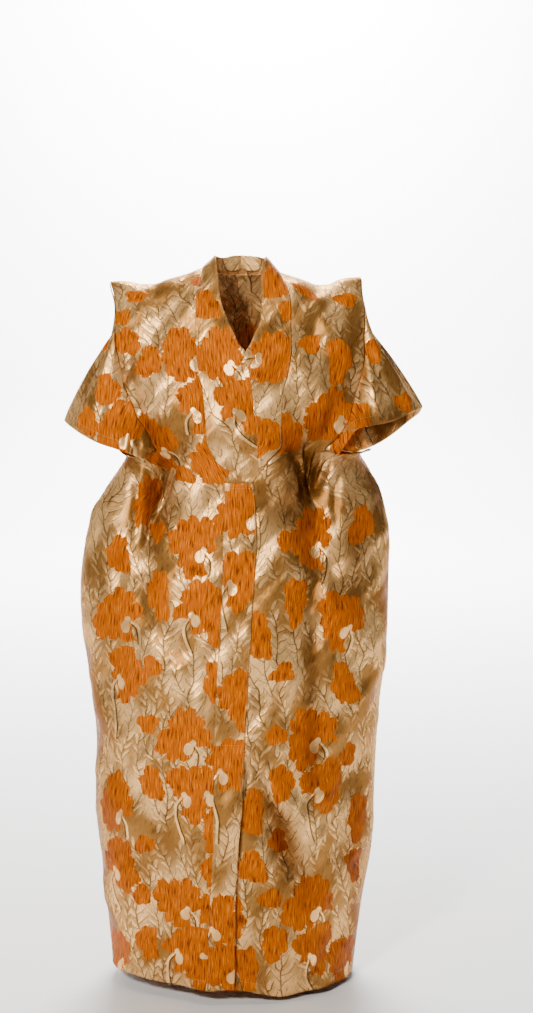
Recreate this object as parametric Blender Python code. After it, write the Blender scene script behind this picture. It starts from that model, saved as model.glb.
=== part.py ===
# Modern boubou robe, hollow as it is worn: two fronts, a back, two sleeves, neck bands and a placket
import math

import bpy
import numpy as np

# Driving sizes in metres. +X is the wearer's left, the front faces -Y and +Z is up.
# The origin is the middle of the shoulder line.
WALL = 0.0015
SEAM_TRIM = 0.0002
LAYER = WALL + 0.0004
HEM_DROP = 1.390
HEM_SAG = 0.009
HEM_DIP = 0.018
HEM_DIP_X = 0.110
HEM_DIP_WIDTH = 0.070
WAIST_DROP = 0.416
ARMHOLE_DROP = 0.345
BAND_END_DROP = 0.390
NECK_CENTRE = 0.012
NECK_HALF = 0.080
BACK_NECK_DROP = 0.016
COLLAR_LIFT = 0.020
COLLAR_BACK_HEIGHT = 0.036
LAP = 0.005
CLOSURE_LAP = 0.008
RIDGE_REACH = 0.050
SLEEVE_GAP = 0.0013

# Depth of the front and the back, and the angle round a row of the line that follows the armhole
BODY = (
    ("drop", "front", "back", "turn"),
    (0.000, 0.000, 0.000, 75.0),
    (0.006, 0.022, 0.020, 74.0),
    (0.016, 0.038, 0.036, 72.5),
    (0.030, 0.051, 0.050, 70.5),
    (0.050, 0.064, 0.065, 68.0),
    (0.100, 0.088, 0.090, 65.0),
    (0.173, 0.111, 0.108, 61.0),
    (0.230, 0.122, 0.112, 55.5),
    (0.290, 0.129, 0.112, 49.0),
    (0.345, 0.131, 0.109, 46.2),
    (0.405, 0.129, 0.106, 45.0),
    (0.450, 0.129, 0.108, 44.5),
    (0.520, 0.138, 0.126, 44.5),
    (0.620, 0.155, 0.150, 45.0),
    (0.780, 0.172, 0.168, 45.0),
    (0.950, 0.180, 0.174, 45.0),
    (1.200, 0.182, 0.174, 45.0),
    (1.390, 0.176, 0.168, 45.0),
)

# Wing edge and armhole of the front and the back, down to the corner where the side begins
EDGE_RIGHT = (
    ("drop", "x", "z"),
    (0.000, -0.249, -0.024),
    (0.016, -0.245, -0.039),
    (0.050, -0.238, -0.069),
    (0.100, -0.233, -0.110),
    (0.150, -0.229, -0.155),
    (0.200, -0.224, -0.201),
    (0.230, -0.217, -0.231),
    (0.260, -0.204, -0.262),
    (0.285, -0.190, -0.288),
    (0.305, -0.177, -0.310),
    (0.325, -0.165, -0.332),
    (0.345, -0.157, -0.356),
)
EDGE_LEFT = (
    ("drop", "x", "z"),
    (0.000, 0.248, -0.015),
    (0.016, 0.249, -0.031),
    (0.050, 0.251, -0.063),
    (0.100, 0.252, -0.106),
    (0.150, 0.252, -0.154),
    (0.200, 0.249, -0.203),
    (0.230, 0.241, -0.233),
    (0.260, 0.230, -0.262),
    (0.285, 0.220, -0.288),
    (0.305, 0.210, -0.310),
    (0.325, 0.197, -0.333),
    (0.345, 0.178, -0.356),
)

# Side seams from the underarm to the hem
SIDE_RIGHT = (
    ("drop", "x", "z"),
    (0.345, -0.2175, -0.366),
    (0.375, -0.221, -0.375),
    (0.405, -0.230, -0.390),
    (0.430, -0.242, -0.407),
    (0.460, -0.260, -0.433),
    (0.500, -0.282, -0.475),
    (0.550, -0.302, -0.537),
    (0.640, -0.313, -0.638),
    (0.700, -0.311, -0.700),
    (0.825, -0.294, -0.825),
    (0.950, -0.283, -0.950),
    (1.072, -0.286, -1.074),
    (1.200, -0.272, -1.204),
    (1.390, -0.254, -1.398),
)
SIDE_LEFT = (
    ("drop", "x", "z"),
    (0.345, 0.2466, -0.366),
    (0.375, 0.250, -0.375),
    (0.405, 0.260, -0.390),
    (0.430, 0.273, -0.408),
    (0.460, 0.288, -0.435),
    (0.500, 0.299, -0.477),
    (0.550, 0.307, -0.540),
    (0.640, 0.306, -0.640),
    (0.760, 0.301, -0.762),
    (0.885, 0.287, -0.890),
    (1.010, 0.280, -1.020),
    (1.130, 0.276, -1.146),
    (1.250, 0.255, -1.274),
    (1.390, 0.237, -1.422),
)

# Height of the shoulder seam, with its dip before each raised wing tip
SHOULDER = (
    ("x", "z"),
    (-0.249, -0.024),
    (-0.227, -0.023),
    (-0.206, -0.025),
    (-0.186, -0.029),
    (-0.166, -0.029),
    (-0.134, -0.019),
    (-0.098, -0.009),
    (-0.061, 0.004),
    (0.000, 0.008),
    (0.061, 0.004),
    (0.086, -0.005),
    (0.127, -0.018),
    (0.169, -0.031),
    (0.185, -0.029),
    (0.203, -0.021),
    (0.217, -0.017),
    (0.248, -0.015),
)

# Seams of the bands and, below the waist, of the placket; edges of the neck opening and of the closure
FRONT_LINES = (
    ("drop", "seam_right", "seam_left"),
    (0.000, -0.064, 0.084),
    (0.035, -0.068, 0.100),
    (0.060, -0.074, 0.107),
    (0.100, -0.076, 0.109),
    (0.170, -0.075, 0.108),
    (0.209, -0.069, 0.102),
    (0.240, -0.061, 0.093),
    (0.285, -0.057, 0.091),
    (0.335, -0.053, 0.090),
    (0.376, -0.036, 0.062),
    (0.400, -0.026, 0.047),
    (0.416, -0.020, 0.036),
    (0.450, -0.019, 0.039),
    (0.524, -0.022, 0.043),
    (0.640, -0.025, 0.036),
    (0.794, -0.034, 0.026),
    (0.916, -0.039, 0.020),
    (1.109, -0.042, 0.008),
    (1.218, -0.048, 0.002),
    (1.390, -0.056, -0.001),
)
NECK_EDGES = (
    ("drop", "edge_right", "edge_left"),
    (0.000, -0.039, 0.058),
    (0.035, -0.032, 0.050),
    (0.066, -0.027, 0.051),
    (0.103, -0.014, 0.049),
    (0.128, -0.002, 0.039),
    (0.152, 0.009, 0.029),
    (0.173, 0.026, 0.018),
    (0.200, 0.034, 0.026),
    (0.230, 0.040, 0.032),
    (0.270, 0.043, 0.035),
    (0.297, 0.045, 0.037),
    (0.335, 0.050, 0.042),
    (0.376, 0.053, 0.045),
    (0.390, 0.052, 0.046),
    (0.416, 0.034, 0.046),
)

# Lower edge of each sleeve, read from the shoulder tip round to the underarm
SLEEVE_RIGHT_FRONT = (
    ("around", "x", "y", "z"),
    (0.00, -0.343, 0.000, -0.300),
    (0.12, -0.329, 0.030, -0.309),
    (0.23, -0.304, 0.054, -0.324),
    (0.40, -0.266, 0.080, -0.342),
    (0.53, -0.236, 0.093, -0.351),
    (0.66, -0.206, 0.100, -0.361),
    (0.76, -0.184, 0.101, -0.369),
    (0.80, -0.176, 0.099, -0.371),
    (0.87, -0.199, 0.076, -0.368),
    (0.94, -0.226, 0.038, -0.361),
    (1.00, -0.237, 0.000, -0.356),
)
SLEEVE_RIGHT_BACK = (
    ("around", "x", "y", "z"),
    (0.00, -0.343, 0.000, -0.300),
    (0.12, -0.331, 0.030, -0.311),
    (0.23, -0.308, 0.054, -0.328),
    (0.40, -0.272, 0.078, -0.348),
    (0.53, -0.242, 0.089, -0.358),
    (0.66, -0.214, 0.094, -0.368),
    (0.76, -0.190, 0.092, -0.374),
    (0.80, -0.182, 0.089, -0.374),
    (0.87, -0.203, 0.068, -0.369),
    (0.94, -0.228, 0.034, -0.361),
    (1.00, -0.237, 0.000, -0.356),
)
SLEEVE_LEFT_FRONT = (
    ("around", "x", "y", "z"),
    (0.00, 0.373, 0.000, -0.271),
    (0.12, 0.362, 0.024, -0.277),
    (0.23, 0.338, 0.050, -0.286),
    (0.40, 0.296, 0.078, -0.302),
    (0.53, 0.264, 0.093, -0.307),
    (0.66, 0.238, 0.101, -0.313),
    (0.76, 0.214, 0.102, -0.344),
    (0.80, 0.203, 0.099, -0.362),
    (0.87, 0.232, 0.076, -0.363),
    (0.94, 0.260, 0.038, -0.359),
    (1.00, 0.272, 0.000, -0.355),
)
SLEEVE_LEFT_BACK = (
    ("around", "x", "y", "z"),
    (0.00, 0.373, 0.000, -0.271),
    (0.12, 0.370, 0.024, -0.283),
    (0.23, 0.352, 0.048, -0.300),
    (0.40, 0.318, 0.072, -0.330),
    (0.53, 0.290, 0.084, -0.349),
    (0.66, 0.260, 0.092, -0.362),
    (0.76, 0.229, 0.094, -0.369),
    (0.80, 0.216, 0.090, -0.370),
    (0.87, 0.240, 0.068, -0.366),
    (0.94, 0.263, 0.034, -0.360),
    (1.00, 0.272, 0.000, -0.355),
)

# How much of the sleeve hangs straight under the wing before it flares
SLEEVE_FALL = (
    ("reach", "shift"),
    (0.00, 0.000),
    (0.17, 0.026),
    (0.33, 0.039),
    (0.44, 0.030),
    (0.63, 0.015),
    (0.79, 0.007),
    (1.00, 0.000),
)

# Main folds as lines on the cloth: a depth below nought is a trough, above it a ridge
FOLD_COLUMNS = ("x", "z", "width", "depth")
FRONT_FOLDS = {
    "right waist": (
        (-0.140, -0.330, 0.030, 0.000),
        (-0.150, -0.390, 0.036, -0.022),
        (-0.155, -0.440, 0.040, -0.036),
        (-0.170, -0.500, 0.038, -0.028),
        (-0.186, -0.600, 0.036, -0.015),
        (-0.212, -0.720, 0.036, -0.009),
        (-0.226, -0.860, 0.040, -0.007),
        (-0.228, -1.030, 0.045, -0.003),
        (-0.228, -1.200, 0.050, 0.000),
    ),
    "left waist": (
        (0.160, -0.320, 0.028, 0.000),
        (0.158, -0.380, 0.034, -0.022),
        (0.157, -0.425, 0.038, -0.036),
        (0.156, -0.500, 0.036, -0.028),
        (0.153, -0.600, 0.032, -0.017),
        (0.150, -0.720, 0.036, -0.013),
        (0.148, -0.860, 0.040, -0.011),
        (0.151, -1.020, 0.036, -0.004),
        (0.152, -1.120, 0.036, 0.000),
    ),
    "right pleat a": ((-0.100, -0.352, 0.010, 0.000), (-0.118, -0.392, 0.009, -0.006), (-0.150, -0.440, 0.008, 0.000)),
    "right pleat b": ((-0.124, -0.330, 0.010, 0.000), (-0.136, -0.385, 0.009, -0.007), (-0.153, -0.450, 0.008, -0.003)),
    "right pleat c": ((-0.147, -0.345, 0.010, 0.000), (-0.155, -0.395, 0.009, -0.006), (-0.160, -0.470, 0.009, -0.003)),
    "right pleat d": ((-0.158, -0.450, 0.009, 0.000), (-0.178, -0.500, 0.010, -0.006), (-0.190, -0.570, 0.011, 0.000)),
    "left pleat a": ((0.110, -0.345, 0.010, 0.000), (0.128, -0.385, 0.009, -0.006), (0.152, -0.428, 0.008, 0.000)),
    "left pleat b": ((0.140, -0.322, 0.010, 0.000), (0.146, -0.375, 0.009, -0.007), (0.157, -0.438, 0.008, -0.003)),
    "left pleat c": ((0.176, -0.335, 0.010, 0.000), (0.168, -0.385, 0.009, -0.007), (0.159, -0.450, 0.009, -0.003)),
    "left pleat d": ((0.160, -0.440, 0.009, 0.000), (0.172, -0.490, 0.010, -0.005), (0.176, -0.560, 0.011, 0.000)),
    "slit ridge": (
        (0.026, -0.930, 0.016, 0.000),
        (0.034, -0.985, 0.018, 0.006),
        (0.075, -1.020, 0.022, 0.010),
        (0.110, -1.058, 0.024, 0.009),
        (0.150, -1.090, 0.024, 0.000),
    ),
    "slit trough": (
        (0.040, -1.030, 0.024, 0.000),
        (0.066, -1.075, 0.028, -0.014),
        (0.086, -1.130, 0.030, -0.015),
        (0.100, -1.200, 0.032, -0.009),
        (0.108, -1.330, 0.034, 0.000),
    ),
    "right chest": ((-0.150, -0.090, 0.030, 0.000), (-0.160, -0.150, 0.032, -0.007), (-0.150, -0.230, 0.030, 0.000)),
    "right wing": ((-0.190, -0.050, 0.020, 0.000), (-0.150, -0.075, 0.022, -0.005), (-0.120, -0.110, 0.020, 0.000)),
    "left chest": ((0.150, -0.060, 0.014, 0.000), (0.155, -0.130, 0.014, -0.006), (0.152, -0.215, 0.016, 0.000)),
    "left bust": ((0.120, -0.200, 0.030, 0.000), (0.118, -0.270, 0.036, -0.010), (0.130, -0.340, 0.030, 0.000)),
    "right flute": ((-0.120, -0.620, 0.040, 0.000), (-0.125, -0.900, 0.045, -0.006), (-0.130, -1.390, 0.050, -0.008)),
    "left flute": ((0.230, -0.700, 0.034, 0.000), (0.222, -0.980, 0.038, -0.007), (0.205, -1.390, 0.040, -0.008)),
}
BACK_FOLDS = {
    "right waist": (
        (-0.140, -0.320, 0.030, 0.000),
        (-0.150, -0.430, 0.038, -0.026),
        (-0.160, -0.560, 0.036, -0.014),
        (-0.170, -0.760, 0.036, -0.007),
        (-0.175, -1.050, 0.040, 0.000),
    ),
    "left waist": (
        (0.150, -0.320, 0.030, 0.000),
        (0.156, -0.425, 0.038, -0.026),
        (0.158, -0.560, 0.036, -0.014),
        (0.160, -0.760, 0.036, -0.007),
        (0.160, -1.050, 0.040, 0.000),
    ),
    "right pleat": ((-0.118, -0.340, 0.014, 0.000), (-0.134, -0.385, 0.013, -0.006), (-0.150, -0.450, 0.012, 0.000)),
    "left pleat": ((0.122, -0.340, 0.014, 0.000), (0.138, -0.385, 0.013, -0.006), (0.155, -0.450, 0.012, 0.000)),
    "middle flute": ((0.010, -0.500, 0.040, 0.000), (0.020, -0.850, 0.048, -0.008), (0.015, -1.390, 0.050, -0.008)),
    "right flute": ((-0.110, -0.700, 0.036, 0.000), (-0.120, -1.000, 0.040, -0.006), (-0.125, -1.390, 0.044, -0.008)),
    "left flute": ((0.130, -0.700, 0.036, 0.000), (0.135, -1.000, 0.040, -0.006), (0.130, -1.390, 0.044, -0.008)),
}

# Rows of the cloth from the shoulder seam to the hem; columns from the band seam to the armhole line
# and on to the side seam
UPPER_ROWS = (
    0.0, 0.006, 0.016, 0.030, 0.050, 0.075, 0.100, 0.126, 0.150, 0.173, 0.200, 0.230, 0.260, 0.285, 0.305,
    0.325, 0.345,
)
LOWER_ROWS = (
    0.358, 0.370, 0.380, 0.390, 0.403, 0.416, 0.430, 0.445, 0.460, 0.480, 0.505, 0.535, 0.570, 0.610, 0.655,
    0.705, 0.760, 0.820, 0.880, 0.935, 0.985, 1.020, 1.055, 1.095, 1.140, 1.200, 1.265, 1.330, 1.390,
)
ROWS = UPPER_ROWS + LOWER_ROWS
FRONT_COLUMNS = (0.0, 0.14, 0.27, 0.38, 0.46, 0.53, 0.59, 0.65, 0.71, 0.77, 0.83, 0.89, 0.95, 1.0)
BACK_COLUMNS = (0.16, 0.31, 0.45, 0.58, 0.70, 0.81, 0.91, 1.0)
SIDE_COLUMNS = (1.16, 1.36, 1.58, 1.80, 2.0)
UNDERARM_STEPS = (0.14, 0.35, 0.60, 0.82, 1.0)
SLEEVE_REACHES = (0.0, 0.10, 0.24, 0.38, 0.54, 0.70, 0.85, 1.0)
CLOTH_COLOUR = (0.60, 0.36, 0.15, 1.0)


def column(table, name):
    """Values of one named column of a table."""
    at = table[0].index(name)
    return np.array([row[at] for row in table[1:]], dtype=float)


def curve(table, key, name, at):
    """Smooth curve through a column that makes no bumps of its own."""
    xs = column(table, key)
    ys = column(table, name)
    at = np.clip(np.asarray(at, dtype=float), xs[0], xs[-1])
    step = np.diff(xs)
    rise = np.diff(ys) / step
    slope = np.zeros(len(xs))
    same = rise[:-1] * rise[1:] > 0
    left = 2 * step[1:] + step[:-1]
    right = step[1:] + 2 * step[:-1]
    low = np.where(same, rise[:-1], 1.0)
    high = np.where(same, rise[1:], 1.0)
    slope[1:-1] = np.where(same, (left + right) / (left / low + right / high), 0.0)
    slope[0] = rise[0]
    slope[-1] = rise[-1]
    i = np.clip(np.searchsorted(xs, at, side="right") - 1, 0, len(step) - 1)
    t = (at - xs[i]) / step[i]
    h = step[i]
    return (
        ys[i] * (1 + 2 * t) * (1 - t) ** 2
        + slope[i] * h * t * (1 - t) ** 2
        + ys[i + 1] * t * t * (3 - 2 * t)
        + slope[i + 1] * h * t * t * (t - 1)
    )


def smooth(value):
    """Soft step from 0 to 1."""
    t = np.clip(value, 0.0, 1.0)
    return t * t * (3 - 2 * t)


def fold_depth(folds, x, z):
    """Sum of the folds of one face at points x, z."""
    total = np.zeros(np.shape(x))
    for line in folds.values():
        nearest = np.full(np.shape(x), 1e9)
        depth = np.zeros(np.shape(x))
        for start, end in zip(line[:-1], line[1:]):
            ax, az, aw, ad = start
            bx, bz, bw, bd = end
            run = (bx - ax) ** 2 + (bz - az) ** 2
            t = np.clip(((x - ax) * (bx - ax) + (z - az) * (bz - az)) / run, 0.0, 1.0)
            away = np.hypot(x - ax - t * (bx - ax), z - az - t * (bz - az))
            ratio = away / (aw + t * (bw - aw))
            closer = ratio < nearest
            nearest = np.where(closer, ratio, nearest)
            depth = np.where(closer, ad + t * (bd - ad), depth)
        total = total + depth * np.exp(-nearest ** 2)
    return total


def row_turn(drop):
    """Angle round a row at which the armhole line lies."""
    return np.radians(curve(BODY, "drop", "turn", drop))


def row_width(side, drop):
    """Half width of a whole row on one side, as if it ran on to the side seam."""
    turn = np.sin(row_turn(drop))
    right = np.where(
        drop < ARMHOLE_DROP, curve(EDGE_RIGHT, "drop", "x", drop) / turn, curve(SIDE_RIGHT, "drop", "x", drop)
    )
    left = np.where(
        drop < ARMHOLE_DROP, curve(EDGE_LEFT, "drop", "x", drop) / turn, curve(SIDE_LEFT, "drop", "x", drop)
    )
    return np.abs(np.where(side < 0, right, left))


def row_rise(side, drop):
    """How much higher than its middle a whole row ends at the side."""
    turn = np.sin(row_turn(drop)) ** 2
    right = np.where(
        drop < ARMHOLE_DROP,
        (curve(EDGE_RIGHT, "drop", "z", drop) + drop) / turn,
        curve(SIDE_RIGHT, "drop", "z", drop) + drop,
    )
    left = np.where(
        drop < ARMHOLE_DROP,
        (curve(EDGE_LEFT, "drop", "z", drop) + drop) / turn,
        curve(SIDE_LEFT, "drop", "z", drop) + drop,
    )
    return np.where(side < 0, right, left)


def to_angle(x, drop):
    """Angle round a row of a given x, below nought on the wearer's right."""
    return np.sign(x) * np.arcsin(np.clip(np.abs(x) / row_width(x, drop), 0, 1))


def base_point(angle, drop, face):
    """Point of the plain body, face -1 for the front and 1 for the back."""
    across = np.sin(angle)
    x = row_width(angle, drop) * across
    y = face * curve(BODY, "drop", "front" if face < 0 else "back", drop) * np.cos(angle)
    low = -drop + row_rise(angle, drop) * across ** 2
    sag = HEM_SAG + HEM_DIP * np.exp(-(((x - HEM_DIP_X) / HEM_DIP_WIDTH) ** 2))
    low = low - sag * np.cos(angle) ** 2 * smooth((drop - 1.1) / 0.29)
    top = curve(SHOULDER, "x", "z", x) - drop
    near = np.exp(-((drop / RIDGE_REACH) ** 2))
    z = near * top + (1 - near) * low
    return np.stack([x, y, z], axis=-1)


def slope_normal(function, angle, drop, face):
    """Outward normal of a surface function, level across the shoulder seam and the side seams."""
    step = 0.002
    high = np.maximum(drop - step, 0.0)
    low = np.minimum(drop + step, HEM_DROP)
    across = function(angle + step, drop, face) - function(angle - step, drop, face)
    down = function(angle, low, face) - function(angle, high, face)
    normal = np.cross(across, down) * face
    seam = (drop < 1e-6) | (np.abs(angle) > math.pi / 2 - 1e-6)
    normal[..., 1] = np.where(seam, 0.0, normal[..., 1])
    return normal / np.maximum(np.linalg.norm(normal, axis=-1, keepdims=True), 1e-12)


def body_point(angle, drop, face):
    """Point of the body with its folds."""
    base = base_point(angle, drop, face)
    normal = slope_normal(base_point, angle, drop, face)
    folds = FRONT_FOLDS if face < 0 else BACK_FOLDS
    depth = fold_depth(folds, base[..., 0], base[..., 2])
    depth = depth * smooth((math.pi / 2 - np.abs(angle)) / 0.20) * smooth(drop / 0.03)
    return base + normal * depth[..., None]


def body_normal(angle, drop, face):
    """Outward normal of the folded body."""
    return slope_normal(body_point, angle, drop, face)


def neck_drop(x):
    """How far the back neckline lies below the shoulder seam."""
    return BACK_NECK_DROP * np.maximum(0.0, 1 - ((x - NECK_CENTRE) / NECK_HALF) ** 2)


def mesh_object(name, vertices, faces, material, collection):
    """Makes one object from points and faces."""
    mesh = bpy.data.meshes.new(name)
    mesh.from_pydata([tuple(map(float, v)) for v in vertices], [], faces)
    mesh.validate()
    mesh.update()
    mesh.materials.append(material)
    thing = bpy.data.objects.new(name, mesh)
    collection.objects.link(thing)
    return thing


def boundary_shift(points, cells, amount):
    """Moves each vertex on an open edge a little into the piece, so that seams keep a gap."""
    seen = {}
    for cell in cells:
        for a, b in zip(cell, cell[1:] + cell[:1]):
            key = (min(a, b), max(a, b))
            seen.setdefault(key, []).append(cell)
    inward = {}
    for (a, b), owners in seen.items():
        if len(owners) != 1:
            continue
        middle = points[list(owners[0])].mean(axis=0)
        line = points[b] - points[a]
        line = line / np.linalg.norm(line)
        away = middle - points[a]
        away = away - line * away.dot(line)
        away = away / np.linalg.norm(away)
        inward.setdefault(a, []).append(away)
        inward.setdefault(b, []).append(away)
    moved = points.copy()
    for vertex, directions in inward.items():
        total = sum(directions)
        share = 1 + directions[0].dot(directions[-1])
        moved[vertex] = points[vertex] + total / max(share, 0.5) * amount
    return moved


def cloth_piece(name, points, normals, cells, material, collection):
    """Makes a closed wall of cloth from the points in its middle and the cells between them."""
    used = sorted({vertex for cell in cells for vertex in cell})
    place = {vertex: i for i, vertex in enumerate(used)}
    cells = [tuple(place[vertex] for vertex in cell) for cell in cells]
    points = boundary_shift(points[used], cells, SEAM_TRIM)
    normals = normals[used]
    count = len(used)
    outer = points + normals * WALL / 2
    inner = points - normals * WALL / 2
    a, b, c = (np.array(outer[i]) for i in cells[0][:3])
    flip = np.cross(b - a, c - a).dot(normals[cells[0][0]]) < 0
    if flip:
        cells = [cell[::-1] for cell in cells]
    cells = [part for a, b, c, d in cells for part in ((a, b, c), (a, c, d))]
    faces = list(cells)
    faces += [tuple(vertex + count for vertex in cell[::-1]) for cell in cells]
    edges = {(a, b) for cell in cells for a, b in zip(cell, cell[1:] + cell[:1])}
    faces += [(b, a, a + count, b + count) for a, b in edges if (b, a) not in edges]
    return mesh_object(name, np.concatenate([outer, inner]), faces, material, collection)


def grid_cells(rows, columns, keep=None):
    """Four-sided cells of a grid of rows by columns, those that keep allows."""
    cells = []
    for r in range(rows - 1):
        for c in range(columns - 1):
            if keep is None or keep(r, c):
                i = r * columns + c
                cells.append((i, i + 1, i + columns + 1, i + columns))
    return cells


def flat_arrays(points, normals):
    """Grids of points and normals as plain lists of them."""
    return points.reshape(-1, 3), normals.reshape(-1, 3)


def front_lines(drop):
    """Seams of the middle of the front at a drop, with the laps beside them."""
    right = float(curve(FRONT_LINES, "drop", "seam_right", drop))
    left = float(curve(FRONT_LINES, "drop", "seam_left", drop))
    middle = (right + left) / 2
    return right, right + LAP, middle - 0.006, middle + 0.006, left - LAP, left


def column_angle(inner, share, side, turn):
    """Angle of a column between the inner line, the armhole line at 1 and the side seam at 2."""
    if share <= 1:
        return inner + (side * turn - inner) * share
    return side * (turn + (math.pi / 2 - turn) * (share - 1))


def front_grid(rows):
    """Angle, drop, point and normal of the whole front, right edge to left edge."""
    places = []
    shares = FRONT_COLUMNS[1:] + SIDE_COLUMNS
    for drop in rows:
        turn = float(row_turn(drop))
        lines = to_angle(np.array(front_lines(drop)), np.full(6, drop))
        right = [column_angle(lines[0], share, -1, turn) for share in shares[::-1]]
        left = [column_angle(lines[5], share, 1, turn) for share in shares]
        places.append(right + list(lines) + left)
    angle = np.array(places)
    drops = np.repeat(np.array(rows)[:, None], angle.shape[1], axis=1)
    return angle, drops, body_point(angle, drops, -1), body_normal(angle, drops, -1)


def build_fronts(material, collection):
    """Right front, left front and the placket that lies on both below the waist."""
    _, _, points, normals = front_grid(ROWS)
    high, wide = points.shape[:2]
    flank = len(SIDE_COLUMNS)
    side = len(FRONT_COLUMNS) - 1 + flank
    waist = ROWS.index(WAIST_DROP)
    armhole = ROWS.index(ARMHOLE_DROP)
    flat, normal = flat_arrays(points, normals)

    def is_right(r, c):
        return c <= side and (r >= armhole or c >= flank)

    def is_left(r, c):
        inner = c >= side + 4 or (r >= waist and c >= side + 1)
        return inner and (r >= armhole or c < wide - 1 - flank)

    cloth_piece("front_right", flat, normal, grid_cells(high, wide, is_right), material, collection)
    cloth_piece("front_left", flat, normal, grid_cells(high, wide, is_left), material, collection)
    raised = (points + normals * LAYER).reshape(-1, 3)
    strip = grid_cells(high, wide, lambda r, c: r >= waist and side <= c < side + 5)
    cloth_piece("front_placket", raised, normal, strip, material, collection)


def build_back(material, collection):
    """Back in one piece with its neckline."""
    neck = np.array([-0.064, -0.048, -0.028, -0.008, NECK_CENTRE, 0.032, 0.052, 0.070, 0.084])
    shares = BACK_COLUMNS + SIDE_COLUMNS
    places = []
    drops = []
    for drop in ROWS:
        turn = float(row_turn(drop))
        xs = neck * (1 + 0.25 * float(smooth(drop / 0.5)))
        inner = to_angle(xs, np.full(len(xs), drop))
        right = [column_angle(inner[0], share, -1, turn) for share in shares[::-1]]
        left = [column_angle(inner[-1], share, 1, turn) for share in shares]
        places.append(right + list(inner) + left)
        low = neck_drop(xs) * max(0.0, 1 - drop / 0.08)
        pad = np.zeros(len(shares))
        drops.append(np.concatenate([pad, low, pad]) + drop)
    angle = np.array(places)
    down = np.array(drops)
    high, wide = angle.shape
    flank = len(SIDE_COLUMNS)
    armhole = ROWS.index(ARMHOLE_DROP)

    def is_back(r, c):
        return r >= armhole or flank <= c < wide - 1 - flank

    flat, normal = flat_arrays(body_point(angle, down, 1), body_normal(angle, down, 1))
    cloth_piece("back", flat, normal, grid_cells(high, wide, is_back), material, collection)


def band_point(x, drop, lift):
    """Point of a neck band over the front, raised towards the neck at the top."""
    point = body_point(to_angle(x, drop), drop, -1)
    return point + np.stack([0 * x, 0 * x, lift * np.exp(-((drop / 0.035) ** 2))], axis=-1)


def band_normal(x, drop, lift_of):
    """Outward normal of a neck band over the front."""
    step = 0.002
    dx = band_point(x + step, drop, lift_of(x + step)) - band_point(x - step, drop, lift_of(x - step))
    low = np.maximum(drop - step, 0.0)
    dd = band_point(x, drop + step, lift_of(x)) - band_point(x, low, lift_of(x))
    normal = np.cross(dd, dx)
    return normal / np.linalg.norm(normal, axis=-1, keepdims=True)


def band_grid(side, rows):
    """Points and normals of one band down the front, from its seam to its edge."""
    points = []
    normals = []
    for drop in rows:
        seam = float(curve(FRONT_LINES, "drop", "seam_right" if side < 0 else "seam_left", drop))
        edge = float(curve(NECK_EDGES, "drop", "edge_right" if side < 0 else "edge_left", drop))
        lap = edge + side * CLOSURE_LAP
        if side > 0:
            lap = min(lap, seam - LAP - 0.0004)
        xs = np.array([seam, seam - side * LAP, (seam - side * LAP + lap) / 2, lap, edge])

        def lift_of(x, seam=seam, edge=edge):
            return COLLAR_LIFT * np.clip((x - seam) / (edge - seam), -0.1, 1.1)

        down = np.full(5, drop)
        normal = band_normal(xs, down, lift_of)
        if drop < 1e-6:
            normal[:, 1] = 0.0
            normal = normal / np.linalg.norm(normal, axis=-1, keepdims=True)
        layer = np.full(5, LAYER)
        if side > 0:
            raised = smooth(np.array([0, 0, 0.6, 1, 1]) + smooth((drop - 0.32) / 0.03))
            layer = LAYER + LAYER * smooth((drop - 0.126) / 0.04) * raised
        points.append(band_point(xs, down, lift_of(xs)) + normal * layer[:, None])
        normals.append(normal)
    return points, normals


def band_back(side, first_points, first_normals):
    """Rows of one band from the shoulder to the middle of the back, where it stands up."""
    points = []
    normals = []
    seam = -0.064 if side < 0 else 0.084
    lean = first_points[-1] - first_points[0]
    for share in (1.0, 0.8, 0.6, 0.4, 0.2):
        x = np.array([seam + (NECK_CENTRE - seam) * share])
        drop = neck_drop(x)
        angle = to_angle(x, drop)
        foot = (body_point(angle, drop, 1) + body_normal(angle, drop, 1) * LAYER)[0]
        ease = float(smooth(share * 1.2))
        rise = lean * (1 - ease) + np.array([0.0, -0.005, COLLAR_BACK_HEIGHT]) * ease
        out = np.array([0.0, 0.99, 0.14]) * ease + first_normals[2] * (1 - ease)
        out = out + np.array([side * 0.9 * (1 - share) * ease, 0.0, 0.0])
        out = out - rise * out.dot(rise) / rise.dot(rise)
        out = out / np.linalg.norm(out)
        shares = np.array([0.0, 0.16, 0.45, 0.78, 1.0])
        points.append(foot + shares[:, None] * rise + np.array([0.0, 0.0, SEAM_TRIM]))
        normals.append(np.repeat(out[None, :], 5, axis=0))
    return points, normals


def build_bands(material, collection):
    """Two neck bands that meet at the middle of the back; the left one laps over the right."""
    for side, name in ((-1, "neck_band_right"), (1, "neck_band_left")):
        last = WAIST_DROP if side < 0 else BAND_END_DROP
        rows = [drop for drop in ROWS if drop <= last + 1e-6]
        front_points, front_normals = band_grid(side, rows)
        back_points, back_normals = band_back(side, front_points[0], front_normals[0])
        points = np.array(back_points + front_points)
        normals = np.array(back_normals + front_normals)
        high, wide = points.shape[:2]
        flat, normal = flat_arrays(points, normals)
        cloth_piece(name, flat, normal, grid_cells(high, wide), material, collection)


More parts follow.
